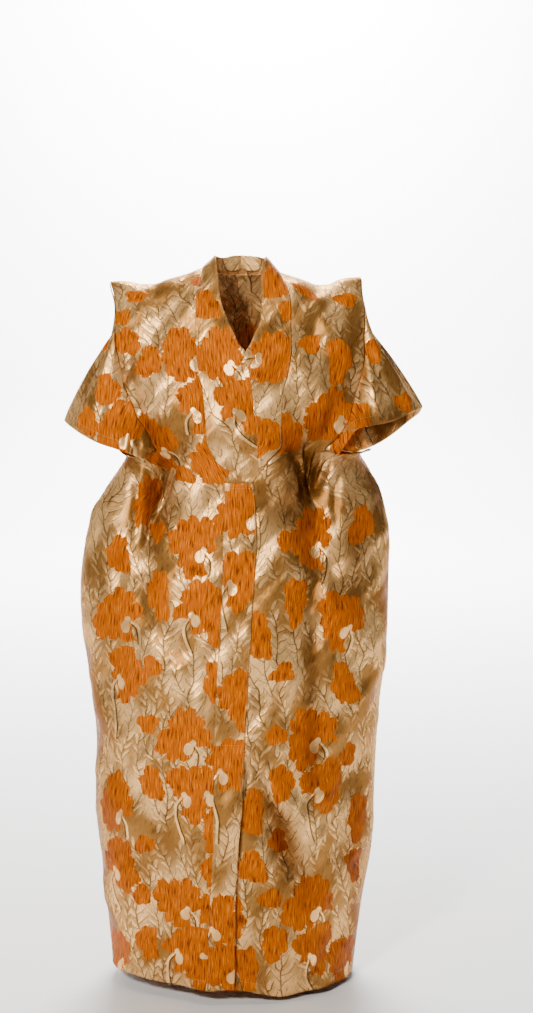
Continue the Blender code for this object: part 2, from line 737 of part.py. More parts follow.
def armhole_ring(side):
    """Points and places of the armhole: tip, down the front, underarm and up the back."""
    walk = []
    for drop in UPPER_ROWS:
        walk.append((side * float(row_turn(drop)), drop, 0.8 * drop / ARMHOLE_DROP))
    turn = float(row_turn(ARMHOLE_DROP))
    for step in UNDERARM_STEPS:
        walk.append((side * (turn + (math.pi / 2 - turn) * step), ARMHOLE_DROP, 0.8 + 0.2 * step))
    front = [(angle, drop, around, -1) for angle, drop, around in walk]
    back = [(angle, drop, around, 1) for angle, drop, around in walk[-2:0:-1]]
    points = [body_point(np.array([a]), np.array([d]), face)[0] for a, d, _, face in front + back]
    return np.array(points), [(around, face) for _, _, around, face in front + back]


def sleeve_rings(side):
    """Rings of a sleeve from the armhole to its lower edge."""
    front = SLEEVE_RIGHT_FRONT if side < 0 else SLEEVE_LEFT_FRONT
    back = SLEEVE_RIGHT_BACK if side < 0 else SLEEVE_LEFT_BACK
    points, places = armhole_ring(side)
    rings = []
    for reach in SLEEVE_REACHES:
        ring = []
        for i, (around, face) in enumerate(places):
            table = front if face < 0 else back
            start = points[i]
            line = points[(i + 1) % len(points)] - points[i - 1]
            line = line / np.linalg.norm(line)
            end = np.array([
                float(curve(table, "around", "x", around)),
                face * float(curve(table, "around", "y", around)),
                float(curve(table, "around", "z", around)),
            ])
            away = end - start
            away = away - line * away.dot(line)
            away = away / np.linalg.norm(away)
            away[2] += 1.5 * float(smooth((around - 0.76) / 0.10))
            gap = SLEEVE_GAP * (1 + float(smooth((0.07 - around) / 0.07)))
            start = start + away / np.linalg.norm(away) * gap
            shift = float(curve(SLEEVE_FALL, "reach", "shift", reach)) * float(smooth((0.25 - around) / 0.25))
            point = start + (end - start) * reach
            point[0] -= side * shift
            fullness = math.sin(math.pi * reach) * math.sin(math.pi * min(1.0, around / 0.8))
            point[1] += face * 0.010 * fullness
            ring.append(point)
        rings.append(ring)
    return np.array(rings)


def build_sleeves(material, collection):
    """Two short flared sleeves that start at the armholes."""
    for side, name in ((-1, "sleeve_right"), (1, "sleeve_left")):
        rings = sleeve_rings(side)
        high, around = rings.shape[:2]
        turn = np.roll(rings, -1, axis=1) - np.roll(rings, 1, axis=1)
        down = np.gradient(rings, axis=0)
        normals = np.cross(turn, down)
        normals = normals / np.linalg.norm(normals, axis=-1, keepdims=True)
        middle = rings.mean(axis=1, keepdims=True)
        if ((rings - middle) * normals).sum() < 0:
            normals = -normals
        cells = []
        for r in range(high - 1):
            for c in range(around):
                n = (c + 1) % around
                cells.append((r * around + c, r * around + n, (r + 1) * around + n, (r + 1) * around + c))
        flat, normal = flat_arrays(rings, normals)
        cloth_piece(name, flat, normal, cells, material, collection)


def brocade(name):
    """Plain material of the cloth."""
    material = bpy.data.materials.new(name)
    material.use_nodes = True
    shader = material.node_tree.nodes["Principled BSDF"]
    shader.inputs["Base Color"].default_value = CLOTH_COLOUR
    shader.inputs["Roughness"].default_value = 0.45
    shader.inputs["Metallic"].default_value = 0.0
    return material


def main():
    """Builds the robe."""
    for thing in list(bpy.data.objects):
        bpy.data.objects.remove(thing)
    collection = bpy.data.collections.new("boubou_robe")
    bpy.context.scene.collection.children.link(collection)
    material = brocade("brocade")
    build_fronts(material, collection)
    build_back(material, collection)
    build_bands(material, collection)
    build_sleeves(material, collection)


main()
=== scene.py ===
"""Look of the boubou robe: brocade, creases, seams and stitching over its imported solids."""

import logging
import math
from dataclasses import dataclass, field
from enum import Enum
from typing import Callable, Sequence, Union

import bpy
import numpy as np
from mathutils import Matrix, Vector


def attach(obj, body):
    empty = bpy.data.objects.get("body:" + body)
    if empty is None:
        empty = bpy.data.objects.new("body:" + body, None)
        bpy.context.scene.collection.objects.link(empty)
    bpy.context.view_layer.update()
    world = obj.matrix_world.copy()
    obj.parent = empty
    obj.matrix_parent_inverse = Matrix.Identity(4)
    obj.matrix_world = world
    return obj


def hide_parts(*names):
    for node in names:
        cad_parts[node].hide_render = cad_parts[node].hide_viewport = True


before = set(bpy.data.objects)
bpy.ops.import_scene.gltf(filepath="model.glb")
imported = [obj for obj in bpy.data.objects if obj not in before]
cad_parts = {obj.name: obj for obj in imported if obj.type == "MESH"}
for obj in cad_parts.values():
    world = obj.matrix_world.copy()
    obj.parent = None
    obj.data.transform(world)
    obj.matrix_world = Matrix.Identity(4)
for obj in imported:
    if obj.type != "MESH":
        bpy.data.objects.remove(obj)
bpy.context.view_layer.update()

logging.basicConfig(level=logging.INFO, format="%(message)s")
LOG = logging.getLogger("robe")

Array = np.ndarray
Table = Sequence[Sequence[Union[str, float]]]
Lines = dict[str, Sequence[Sequence[float]]]

# Sizes of the form in metres, as in the solids
WALL = 0.0015
SEAM_TRIM = 0.0002
LAYER = WALL + 0.0004
HEM_DROP = 1.390
HEM_SAG = 0.009
HEM_DIP = 0.018
HEM_DIP_X = 0.110
HEM_DIP_WIDTH = 0.070
WAIST_DROP = 0.416
ARMHOLE_DROP = 0.345
BAND_END_DROP = 0.390
NECK_CENTRE = 0.012
NECK_HALF = 0.080
BACK_NECK_DROP = 0.016
COLLAR_LIFT = 0.020
COLLAR_BACK_HEIGHT = 0.036
LAP = 0.005
CLOSURE_LAP = 0.008
RIDGE_REACH = 0.050
SLEEVE_GAP = 0.0013

# Depth of the front and the back, and the angle round a row of the line that follows the armhole
BODY = (
    ("drop", "front", "back", "turn"),
    (0.000, 0.000, 0.000, 75.0),
    (0.006, 0.022, 0.020, 74.0),
    (0.016, 0.038, 0.036, 72.5),
    (0.030, 0.051, 0.050, 70.5),
    (0.050, 0.064, 0.065, 68.0),
    (0.100, 0.088, 0.090, 65.0),
    (0.173, 0.111, 0.108, 61.0),
    (0.230, 0.122, 0.112, 55.5),
    (0.290, 0.129, 0.112, 49.0),
    (0.345, 0.131, 0.109, 46.2),
    (0.405, 0.129, 0.106, 45.0),
    (0.450, 0.129, 0.108, 44.5),
    (0.520, 0.138, 0.126, 44.5),
    (0.620, 0.155, 0.150, 45.0),
    (0.780, 0.172, 0.168, 45.0),
    (0.950, 0.180, 0.174, 45.0),
    (1.200, 0.182, 0.174, 45.0),
    (1.390, 0.176, 0.168, 45.0),
)

# Wing edge and armhole of the front and the back, down to the corner where the side begins
EDGE_RIGHT = (
    ("drop", "x", "z"),
    (0.000, -0.249, -0.024),
    (0.016, -0.245, -0.039),
    (0.050, -0.238, -0.069),
    (0.100, -0.233, -0.110),
    (0.150, -0.229, -0.155),
    (0.200, -0.224, -0.201),
    (0.230, -0.217, -0.231),
    (0.260, -0.204, -0.262),
    (0.285, -0.190, -0.288),
    (0.305, -0.177, -0.310),
    (0.325, -0.165, -0.332),
    (0.345, -0.157, -0.356),
)
EDGE_LEFT = (
    ("drop", "x", "z"),
    (0.000, 0.248, -0.015),
    (0.016, 0.249, -0.031),
    (0.050, 0.251, -0.063),
    (0.100, 0.252, -0.106),
    (0.150, 0.252, -0.154),
    (0.200, 0.249, -0.203),
    (0.230, 0.241, -0.233),
    (0.260, 0.230, -0.262),
    (0.285, 0.220, -0.288),
    (0.305, 0.210, -0.310),
    (0.325, 0.197, -0.333),
    (0.345, 0.178, -0.356),
)

# Side seams from the underarm to the hem
SIDE_RIGHT = (
    ("drop", "x", "z"),
    (0.345, -0.2175, -0.366),
    (0.375, -0.221, -0.375),
    (0.405, -0.230, -0.390),
    (0.430, -0.242, -0.407),
    (0.460, -0.260, -0.433),
    (0.500, -0.282, -0.475),
    (0.550, -0.302, -0.537),
    (0.640, -0.313, -0.638),
    (0.700, -0.311, -0.700),
    (0.825, -0.294, -0.825),
    (0.950, -0.283, -0.950),
    (1.072, -0.286, -1.074),
    (1.200, -0.272, -1.204),
    (1.390, -0.254, -1.398),
)
SIDE_LEFT = (
    ("drop", "x", "z"),
    (0.345, 0.2466, -0.366),
    (0.375, 0.250, -0.375),
    (0.405, 0.260, -0.390),
    (0.430, 0.273, -0.408),
    (0.460, 0.288, -0.435),
    (0.500, 0.299, -0.477),
    (0.550, 0.307, -0.540),
    (0.640, 0.306, -0.640),
    (0.760, 0.301, -0.762),
    (0.885, 0.287, -0.890),
    (1.010, 0.280, -1.020),
    (1.130, 0.276, -1.146),
    (1.250, 0.255, -1.274),
    (1.390, 0.237, -1.422),
)

# Height of the shoulder seam, with its dip before each raised wing tip
SHOULDER = (
    ("x", "z"),
    (-0.249, -0.024),
    (-0.227, -0.023),
    (-0.206, -0.025),
    (-0.186, -0.029),
    (-0.166, -0.029),
    (-0.134, -0.019),
    (-0.098, -0.009),
    (-0.061, 0.004),
    (0.000, 0.008),
    (0.061, 0.004),
    (0.086, -0.005),
    (0.127, -0.018),
    (0.169, -0.031),
    (0.185, -0.029),
    (0.203, -0.021),
    (0.217, -0.017),
    (0.248, -0.015),
)

# Seams of the bands and, below the waist, of the placket; edges of the neck opening and of the closure
FRONT_LINES = (
    ("drop", "seam_right", "seam_left"),
    (0.000, -0.064, 0.084),
    (0.035, -0.068, 0.100),
    (0.060, -0.074, 0.107),
    (0.100, -0.076, 0.109),
    (0.170, -0.075, 0.108),
    (0.209, -0.069, 0.102),
    (0.240, -0.061, 0.093),
    (0.285, -0.057, 0.091),
    (0.335, -0.053, 0.090),
    (0.376, -0.036, 0.062),
    (0.400, -0.026, 0.047),
    (0.416, -0.020, 0.036),
    (0.450, -0.019, 0.039),
    (0.524, -0.022, 0.043),
    (0.640, -0.025, 0.036),
    (0.794, -0.034, 0.026),
    (0.916, -0.039, 0.020),
    (1.109, -0.042, 0.008),
    (1.218, -0.048, 0.002),
    (1.390, -0.056, -0.001),
)
NECK_EDGES = (
    ("drop", "edge_right", "edge_left"),
    (0.000, -0.039, 0.058),
    (0.035, -0.032, 0.050),
    (0.066, -0.027, 0.051),
    (0.103, -0.014, 0.049),
    (0.128, -0.002, 0.039),
    (0.152, 0.009, 0.029),
    (0.173, 0.026, 0.018),
    (0.200, 0.034, 0.026),
    (0.230, 0.040, 0.032),
    (0.270, 0.043, 0.035),
    (0.297, 0.045, 0.037),
    (0.335, 0.050, 0.042),
    (0.376, 0.053, 0.045),
    (0.390, 0.052, 0.046),
    (0.416, 0.034, 0.046),
)

# Lower edge of each sleeve, read from the shoulder tip round to the underarm
SLEEVE_RIGHT_FRONT = (
    ("around", "x", "y", "z"),
    (0.00, -0.343, 0.000, -0.300),
    (0.12, -0.329, 0.030, -0.309),
    (0.23, -0.304, 0.054, -0.324),
    (0.40, -0.266, 0.080, -0.342),
    (0.53, -0.236, 0.093, -0.351),
    (0.66, -0.206, 0.100, -0.361),
    (0.76, -0.184, 0.101, -0.369),
    (0.80, -0.176, 0.099, -0.371),
    (0.87, -0.199, 0.076, -0.368),
    (0.94, -0.226, 0.038, -0.361),
    (1.00, -0.237, 0.000, -0.356),
)
SLEEVE_RIGHT_BACK = (
    ("around", "x", "y", "z"),
    (0.00, -0.343, 0.000, -0.300),
    (0.12, -0.331, 0.030, -0.311),
    (0.23, -0.308, 0.054, -0.328),
    (0.40, -0.272, 0.078, -0.348),
    (0.53, -0.242, 0.089, -0.358),
    (0.66, -0.214, 0.094, -0.368),
    (0.76, -0.190, 0.092, -0.374),
    (0.80, -0.182, 0.089, -0.374),
    (0.87, -0.203, 0.068, -0.369),
    (0.94, -0.228, 0.034, -0.361),
    (1.00, -0.237, 0.000, -0.356),
)
SLEEVE_LEFT_FRONT = (
    ("around", "x", "y", "z"),
    (0.00, 0.373, 0.000, -0.271),
    (0.12, 0.362, 0.024, -0.277),
    (0.23, 0.338, 0.050, -0.286),
    (0.40, 0.296, 0.078, -0.302),
    (0.53, 0.264, 0.093, -0.307),
    (0.66, 0.238, 0.101, -0.313),
    (0.76, 0.214, 0.102, -0.344),
    (0.80, 0.203, 0.099, -0.362),
    (0.87, 0.232, 0.076, -0.363),
    (0.94, 0.260, 0.038, -0.359),
    (1.00, 0.272, 0.000, -0.355),
)
SLEEVE_LEFT_BACK = (
    ("around", "x", "y", "z"),
    (0.00, 0.373, 0.000, -0.271),
    (0.12, 0.370, 0.024, -0.283),
    (0.23, 0.352, 0.048, -0.300),
    (0.40, 0.318, 0.072, -0.330),
    (0.53, 0.290, 0.084, -0.349),
    (0.66, 0.260, 0.092, -0.362),
    (0.76, 0.229, 0.094, -0.369),
    (0.80, 0.216, 0.090, -0.370),
    (0.87, 0.240, 0.068, -0.366),
    (0.94, 0.263, 0.034, -0.360),
    (1.00, 0.272, 0.000, -0.355),
)

# How much of the sleeve hangs straight under the wing before it flares
SLEEVE_FALL = (
    ("reach", "shift"),
    (0.00, 0.000),
    (0.17, 0.026),
    (0.33, 0.039),
    (0.44, 0.030),
    (0.63, 0.015),
    (0.79, 0.007),
    (1.00, 0.000),
)
# Main folds as lines on the cloth: a depth below nought is a trough, above it a ridge
FRONT_FOLDS = {
    "right waist": (
        (-0.140, -0.330, 0.030, 0.000),
        (-0.150, -0.390, 0.036, -0.022),
        (-0.155, -0.440, 0.040, -0.036),
        (-0.170, -0.500, 0.038, -0.028),
        (-0.186, -0.600, 0.036, -0.015),
        (-0.212, -0.720, 0.036, -0.009),
        (-0.226, -0.860, 0.040, -0.007),
        (-0.228, -1.030, 0.045, -0.003),
        (-0.228, -1.200, 0.050, 0.000),
    ),
    "left waist": (
        (0.160, -0.320, 0.028, 0.000),
        (0.158, -0.380, 0.034, -0.022),
        (0.157, -0.425, 0.038, -0.036),
        (0.156, -0.500, 0.036, -0.028),
        (0.153, -0.600, 0.032, -0.017),
        (0.150, -0.720, 0.036, -0.013),
        (0.148, -0.860, 0.040, -0.011),
        (0.151, -1.020, 0.036, -0.004),
        (0.152, -1.120, 0.036, 0.000),
    ),
    "right pleat a": ((-0.100, -0.352, 0.010, 0.000), (-0.118, -0.392, 0.009, -0.006), (-0.150, -0.440, 0.008, 0.000)),
    "right pleat b": ((-0.124, -0.330, 0.010, 0.000), (-0.136, -0.385, 0.009, -0.007), (-0.153, -0.450, 0.008, -0.003)),
    "right pleat c": ((-0.147, -0.345, 0.010, 0.000), (-0.155, -0.395, 0.009, -0.006), (-0.160, -0.470, 0.009, -0.003)),
    "right pleat d": ((-0.158, -0.450, 0.009, 0.000), (-0.178, -0.500, 0.010, -0.006), (-0.190, -0.570, 0.011, 0.000)),
    "left pleat a": ((0.110, -0.345, 0.010, 0.000), (0.128, -0.385, 0.009, -0.006), (0.152, -0.428, 0.008, 0.000)),
    "left pleat b": ((0.140, -0.322, 0.010, 0.000), (0.146, -0.375, 0.009, -0.007), (0.157, -0.438, 0.008, -0.003)),
    "left pleat c": ((0.176, -0.335, 0.010, 0.000), (0.168, -0.385, 0.009, -0.007), (0.159, -0.450, 0.009, -0.003)),
    "left pleat d": ((0.160, -0.440, 0.009, 0.000), (0.172, -0.490, 0.010, -0.005), (0.176, -0.560, 0.011, 0.000)),
    "slit ridge": (
        (0.026, -0.930, 0.016, 0.000),
        (0.034, -0.985, 0.018, 0.006),
        (0.075, -1.020, 0.022, 0.010),
        (0.110, -1.058, 0.024, 0.009),
        (0.150, -1.090, 0.024, 0.000),
    ),
    "slit trough": (
        (0.040, -1.030, 0.024, 0.000),
        (0.066, -1.075, 0.028, -0.014),
        (0.086, -1.130, 0.030, -0.015),
        (0.100, -1.200, 0.032, -0.009),
        (0.108, -1.330, 0.034, 0.000),
    ),
    "right chest": ((-0.150, -0.090, 0.030, 0.000), (-0.160, -0.150, 0.032, -0.007), (-0.150, -0.230, 0.030, 0.000)),
    "right wing": ((-0.190, -0.050, 0.020, 0.000), (-0.150, -0.075, 0.022, -0.005), (-0.120, -0.110, 0.020, 0.000)),
    "left chest": ((0.150, -0.060, 0.014, 0.000), (0.155, -0.130, 0.014, -0.006), (0.152, -0.215, 0.016, 0.000)),
    "left bust": ((0.120, -0.200, 0.030, 0.000), (0.118, -0.270, 0.036, -0.010), (0.130, -0.340, 0.030, 0.000)),
    "right flute": ((-0.120, -0.620, 0.040, 0.000), (-0.125, -0.900, 0.045, -0.006), (-0.130, -1.390, 0.050, -0.008)),
    "left flute": ((0.230, -0.700, 0.034, 0.000), (0.222, -0.980, 0.038, -0.007), (0.205, -1.390, 0.040, -0.008)),
}
BACK_FOLDS = {
    "right waist": (
        (-0.140, -0.320, 0.030, 0.000),
        (-0.150, -0.430, 0.038, -0.026),
        (-0.160, -0.560, 0.036, -0.014),
        (-0.170, -0.760, 0.036, -0.007),
        (-0.175, -1.050, 0.040, 0.000),
    ),
    "left waist": (
        (0.150, -0.320, 0.030, 0.000),
        (0.156, -0.425, 0.038, -0.026),
        (0.158, -0.560, 0.036, -0.014),
        (0.160, -0.760, 0.036, -0.007),
        (0.160, -1.050, 0.040, 0.000),
    ),
    "right pleat": ((-0.118, -0.340, 0.014, 0.000), (-0.134, -0.385, 0.013, -0.006), (-0.150, -0.450, 0.012, 0.000)),
    "left pleat": ((0.122, -0.340, 0.014, 0.000), (0.138, -0.385, 0.013, -0.006), (0.155, -0.450, 0.012, 0.000)),
    "middle flute": ((0.010, -0.500, 0.040, 0.000), (0.020, -0.850, 0.048, -0.008), (0.015, -1.390, 0.050, -0.008)),
    "right flute": ((-0.110, -0.700, 0.036, 0.000), (-0.120, -1.000, 0.040, -0.006), (-0.125, -1.390, 0.044, -0.008)),
    "left flute": ((0.130, -0.700, 0.036, 0.000), (0.135, -1.000, 0.040, -0.006), (0.130, -1.390, 0.044, -0.008)),
}

# Finer creases that only the look has, as lines on the cloth like the main folds
FRONT_CREASES: Lines = {
    "right wing edge": ((-0.206, -0.120, 0.010, 0.000), (-0.204, -0.190, 0.012, -0.006), (-0.188, -0.270, 0.011, 0.000)),
    "right bust a": ((-0.194, -0.250, 0.007, 0.000), (-0.172, -0.300, 0.008, -0.006), (-0.150, -0.345, 0.007, 0.000)),
    "right bust b": ((-0.160, -0.232, 0.008, 0.000), (-0.142, -0.290, 0.009, 0.005), (-0.128, -0.345, 0.008, 0.000)),
    "right bust c": ((-0.112, -0.275, 0.012, 0.000), (-0.100, -0.325, 0.014, -0.004), (-0.108, -0.380, 0.010, 0.000)),
    "right gather a": ((-0.105, -0.376, 0.006, 0.000), (-0.129, -0.413, 0.006, -0.008), (-0.152, -0.445, 0.006, -0.010),
        (-0.171, -0.510, 0.007, 0.000)),
    "right gather b": ((-0.143, -0.362, 0.005, 0.000), (-0.152, -0.402, 0.005, -0.009), (-0.163, -0.440, 0.005, -0.008),
        (-0.171, -0.495, 0.006, 0.000)),
    "right gather c": ((-0.161, -0.362, 0.005, 0.000), (-0.168, -0.430, 0.006, -0.008), (-0.174, -0.510, 0.006, 0.000)),
    "right gather d": ((-0.178, -0.366, 0.006, 0.000), (-0.182, -0.440, 0.006, -0.008), (-0.182, -0.540, 0.007, 0.000)),
    "right gather e": ((-0.120, -0.366, 0.005, 0.000), (-0.141, -0.408, 0.005, 0.005), (-0.164, -0.460, 0.005, 0.000)),
    "right gather f": ((-0.152, -0.362, 0.004, 0.000), (-0.160, -0.410, 0.005, 0.004), (-0.168, -0.460, 0.005, 0.000)),
    "right gather g": ((-0.188, -0.372, 0.006, 0.000), (-0.188, -0.450, 0.007, 0.006), (-0.192, -0.570, 0.008, 0.000)),
    "right gather h": ((-0.200, -0.380, 0.007, 0.000), (-0.200, -0.450, 0.008, -0.008), (-0.202, -0.560, 0.010, 0.000)),
    "right hip": ((-0.205, -0.500, 0.012, 0.000), (-0.222, -0.570, 0.014, -0.006), (-0.238, -0.680, 0.014, 0.000)),
    "right hip ridge": ((-0.214, -0.520, 0.010, 0.000), (-0.204, -0.600, 0.012, 0.005), (-0.206, -0.700, 0.012, 0.000)),
    "left bust a": ((0.196, -0.250, 0.008, 0.000), (0.180, -0.305, 0.008, -0.006), (0.163, -0.352, 0.007, 0.000)),
    "left bust b": ((0.160, -0.205, 0.009, 0.000), (0.172, -0.262, 0.010, 0.005), (0.158, -0.330, 0.009, 0.000)),
    "left bust c": ((0.098, -0.290, 0.010, 0.000), (0.106, -0.350, 0.012, -0.005), (0.132, -0.405, 0.008, 0.000)),
    "slit ridge": ((0.033, -0.926, 0.012, 0.002), (0.070, -0.975, 0.014, 0.007), (0.108, -1.028, 0.016, 0.008),
        (0.160, -1.092, 0.018, 0.006), (0.216, -1.180, 0.022, 0.000)),
    "slit valley": ((0.044, -0.955, 0.012, -0.004), (0.068, -1.040, 0.018, -0.011), (0.098, -1.110, 0.022, -0.012),
        (0.135, -1.205, 0.026, -0.007), (0.150, -1.300, 0.028, 0.000)),
    "left gather a": ((0.139, -0.340, 0.005, 0.000), (0.149, -0.392, 0.005, -0.009), (0.157, -0.445, 0.005, 0.000)),
    "left gather b": ((0.126, -0.340, 0.005, 0.000), (0.143, -0.390, 0.005, 0.005), (0.155, -0.430, 0.005, 0.000)),
    "left gather c": ((0.166, -0.338, 0.005, 0.000), (0.162, -0.392, 0.005, -0.009), (0.158, -0.450, 0.005, 0.000)),
    "left gather d": ((0.181, -0.335, 0.005, 0.000), (0.172, -0.383, 0.005, 0.006), (0.161, -0.428, 0.005, 0.000)),
    "left gather e": ((0.197, -0.340, 0.006, 0.000), (0.182, -0.390, 0.006, -0.009), (0.166, -0.445, 0.006, 0.000)),
    "left gather f": ((0.214, -0.372, 0.007, 0.000), (0.200, -0.420, 0.007, -0.008), (0.196, -0.520, 0.009, 0.000)),
    "left gather g": ((0.118, -0.385, 0.007, 0.000), (0.136, -0.425, 0.006, -0.006), (0.146, -0.500, 0.008, 0.000)),
    "left wing edge": ((0.236, -0.105, 0.010, 0.000), (0.232, -0.180, 0.011, -0.006), (0.214, -0.262, 0.010, 0.000)),
    "left hip": ((0.182, -0.520, 0.012, 0.000), (0.196, -0.600, 0.014, -0.005), (0.196, -0.720, 0.016, 0.000)),
    "left long ridge": ((0.176, -0.560, 0.012, 0.000), (0.178, -0.700, 0.014, 0.005), (0.178, -0.900, 0.016, 0.000)),
    "right cheek": ((-0.150, -0.740, 0.030, 0.000), (-0.110, -0.770, 0.030, 0.006), (-0.070, -0.790, 0.024, 0.000)),
    "right lower dent": ((-0.210, -1.080, 0.030, 0.000), (-0.190, -1.160, 0.034, -0.007), (-0.150, -1.220, 0.028, 0.000)),
    "left lower dent": ((0.215, -1.050, 0.026, 0.000), (0.205, -1.150, 0.030, -0.006), (0.170, -1.230, 0.026, 0.000)),
    "slit edge": ((0.012, -0.960, 0.008, 0.000), (0.016, -1.020, 0.010, -0.005), (0.022, -1.090, 0.012, 0.000)),
    "hem roll": ((0.050, -1.300, 0.030, 0.000), (0.120, -1.340, 0.036, 0.006), (0.190, -1.320, 0.030, 0.000)),
}
BACK_CREASES: Lines = {
    "right gather a": ((-0.146, -0.345, 0.006, 0.000), (-0.152, -0.400, 0.006, -0.005), (-0.156, -0.470, 0.006, 0.000)),
    "right gather b": ((-0.168, -0.352, 0.006, 0.000), (-0.164, -0.402, 0.006, 0.004), (-0.160, -0.455, 0.005, 0.000)),
    "right gather c": ((-0.184, -0.380, 0.006, 0.000), (-0.176, -0.430, 0.006, -0.005), (-0.182, -0.520, 0.008, 0.000)),
    "left gather a": ((0.142, -0.345, 0.006, 0.000), (0.150, -0.400, 0.006, -0.005), (0.156, -0.470, 0.006, 0.000)),
    "left gather b": ((0.170, -0.350, 0.006, 0.000), (0.166, -0.400, 0.006, 0.004), (0.160, -0.455, 0.005, 0.000)),
    "left gather c": ((0.190, -0.376, 0.006, 0.000), (0.182, -0.430, 0.006, -0.005), (0.188, -0.520, 0.008, 0.000)),
    "right hip": ((-0.200, -0.500, 0.014, 0.000), (-0.214, -0.600, 0.016, -0.005), (-0.210, -0.720, 0.018, 0.000)),
    "left hip": ((0.200, -0.500, 0.014, 0.000), (0.214, -0.600, 0.016, -0.005), (0.210, -0.720, 0.018, 0.000)),
    "shoulder blades": ((-0.120, -0.130, 0.030, 0.000), (0.010, -0.160, 0.034, -0.005), (0.130, -0.130, 0.030, 0.000)),
    "seat": ((-0.060, -0.480, 0.030, 0.000), (0.020, -0.520, 0.036, 0.006), (0.100, -0.480, 0.030, 0.000)),
}

# Soft waves of the stiff cloth: how many a metre across and down, their start and their height
WAVES: Table = (
    ("across", "down", "start", "height"),
    (4.1, 5.3, 0.6, 0.0016),
    (-6.7, 3.9, 2.1, 0.0013),
    (9.3, 7.7, 4.0, 0.0010),
    (-12.1, 10.4, 1.2, 0.0008),
    (17.0, -13.3, 5.1, 0.0005),
    (-21.0, 25.0, 3.3, 0.0003),
)

# Places of the blossoms, x and z of each middle, its kind, and how it is turned in degrees
BLOOM_COLUMNS = ("x", "z", "kind", "turn")
FRONT_BLOOMS: Table = (
    BLOOM_COLUMNS,
    (-0.094, -0.171, "rose", 10), (-0.063, -0.267, "fan", 0), (-0.077, -0.535, "rose", 0), (-0.067, -0.655, "fan", 8),
    (-0.095, -0.902, "rose", -6), (-0.082, -1.006, "fan", 0), (-0.108, -1.231, "rose", 4), (-0.096, -1.322, "fan", -8),
    (-0.147, -0.633, "tall", 6), (-0.162, -0.998, "tulip", 0), (-0.174, -1.318, "tulip", 6), (-0.149, -0.512, "bud", 0),
    (-0.168, -0.882, "bud", 20), (-0.183, -1.226, "bud", -10), (-0.228, -0.679, "rose", 20), (-0.212, -0.788, "fan", 0),
    (-0.161, -0.769, "bud", 60), (-0.238, -1.055, "rose", 0), (-0.230, -1.173, "fan", 12), (-0.179, -1.122, "bud", 30),
    (-0.234, -1.367, "rose", 0), (-0.194, -0.055, "bud", 15), (-0.222, -0.096, "bud", 70), (-0.212, -0.145, "tulip", 30),
    (-0.167, -0.184, "tulip", -40), (-0.158, -0.350, "rose", 10), (-0.172, -0.452, "tall", 0),
    (-0.230, -0.560, "tulip", 0), (-0.100, -0.400, "bud", 0),
    (0.138, -0.047, "bud", 0), (0.145, -0.150, "bud", 40), (0.203, -0.184, "tall", 0), (0.185, -0.290, "rose", 20),
    (0.100, -0.326, "tall", 0), (0.045, -0.708, "tall", 0), (0.103, -0.527, "bud", -10), (0.117, -0.642, "tall", 8),
    (0.145, -0.530, "rose", 0), (0.092, -0.777, "bud", 40), (0.143, -0.905, "rose", 0), (0.176, -1.002, "fan", 0),
    (0.083, -0.898, "bud", 0), (0.089, -0.990, "tulip", 0), (0.032, -1.047, "tall", -6), (0.082, -1.109, "bud", 60),
    (0.034, -1.154, "tulip", 10), (0.069, -1.219, "bud", 0), (0.076, -1.307, "tulip", 0), (0.019, -1.352, "tall", 0),
    (0.147, -1.238, "rose", -5), (0.155, -1.326, "fan", 10), (0.212, -0.683, "rose", -15), (0.212, -0.810, "tall", 20),
    (0.222, -0.952, "bud", 50), (0.240, -1.080, "tall", 0), (0.234, -1.179, "tulip", 0), (0.215, -1.384, "rose", 0),
    (0.246, -0.500, "tulip", 0), (-0.029, -1.240, "fan", 20), (-0.026, -1.356, "rose", 12), (0.216, -0.060, "bud", 200),
)
PLACKET_BLOOMS: Table = (
    BLOOM_COLUMNS,
    (0.020, -0.472, "rose", 0), (0.008, -0.597, "fan", 0), (0.018, -0.822, "rose", 8), (-0.011, -0.957, "fan", 0),
    (-0.030, -1.262, "fan", 12), (-0.018, -1.352, "rose", 0), (-0.050, -0.720, "bud", 0),
)
RIGHT_BAND_BLOOMS: Table = (
    BLOOM_COLUMNS,
    (-0.056, -0.076, "tulip", 10), (-0.026, -0.178, "rose", 0), (0.010, -0.262, "fan", 30), (-0.036, -0.395, "bud", 0),
)
LEFT_BAND_BLOOMS: Table = (
    BLOOM_COLUMNS,
    (0.078, -0.032, "tulip", 0), (0.070, -0.177, "rose", 40), (0.112, -0.085, "bud", 0), (0.062, -0.330, "tall", -8),
)
RIGHT_SLEEVE_BLOOMS: Table = (
    BLOOM_COLUMNS,
    (-0.250, -0.240, "tulip", 20), (-0.226, -0.318, "rose", 0), (-0.288, -0.302, "tulip", 60), (-0.262, -0.140, "bud", 0),
)
LEFT_SLEEVE_BLOOMS: Table = (
    BLOOM_COLUMNS,
    (0.270, -0.162, "bud", 60), (0.244, -0.296, "tulip", 0), (0.330, -0.262, "bud", 10), (0.216, -0.345, "tulip", 30),
)

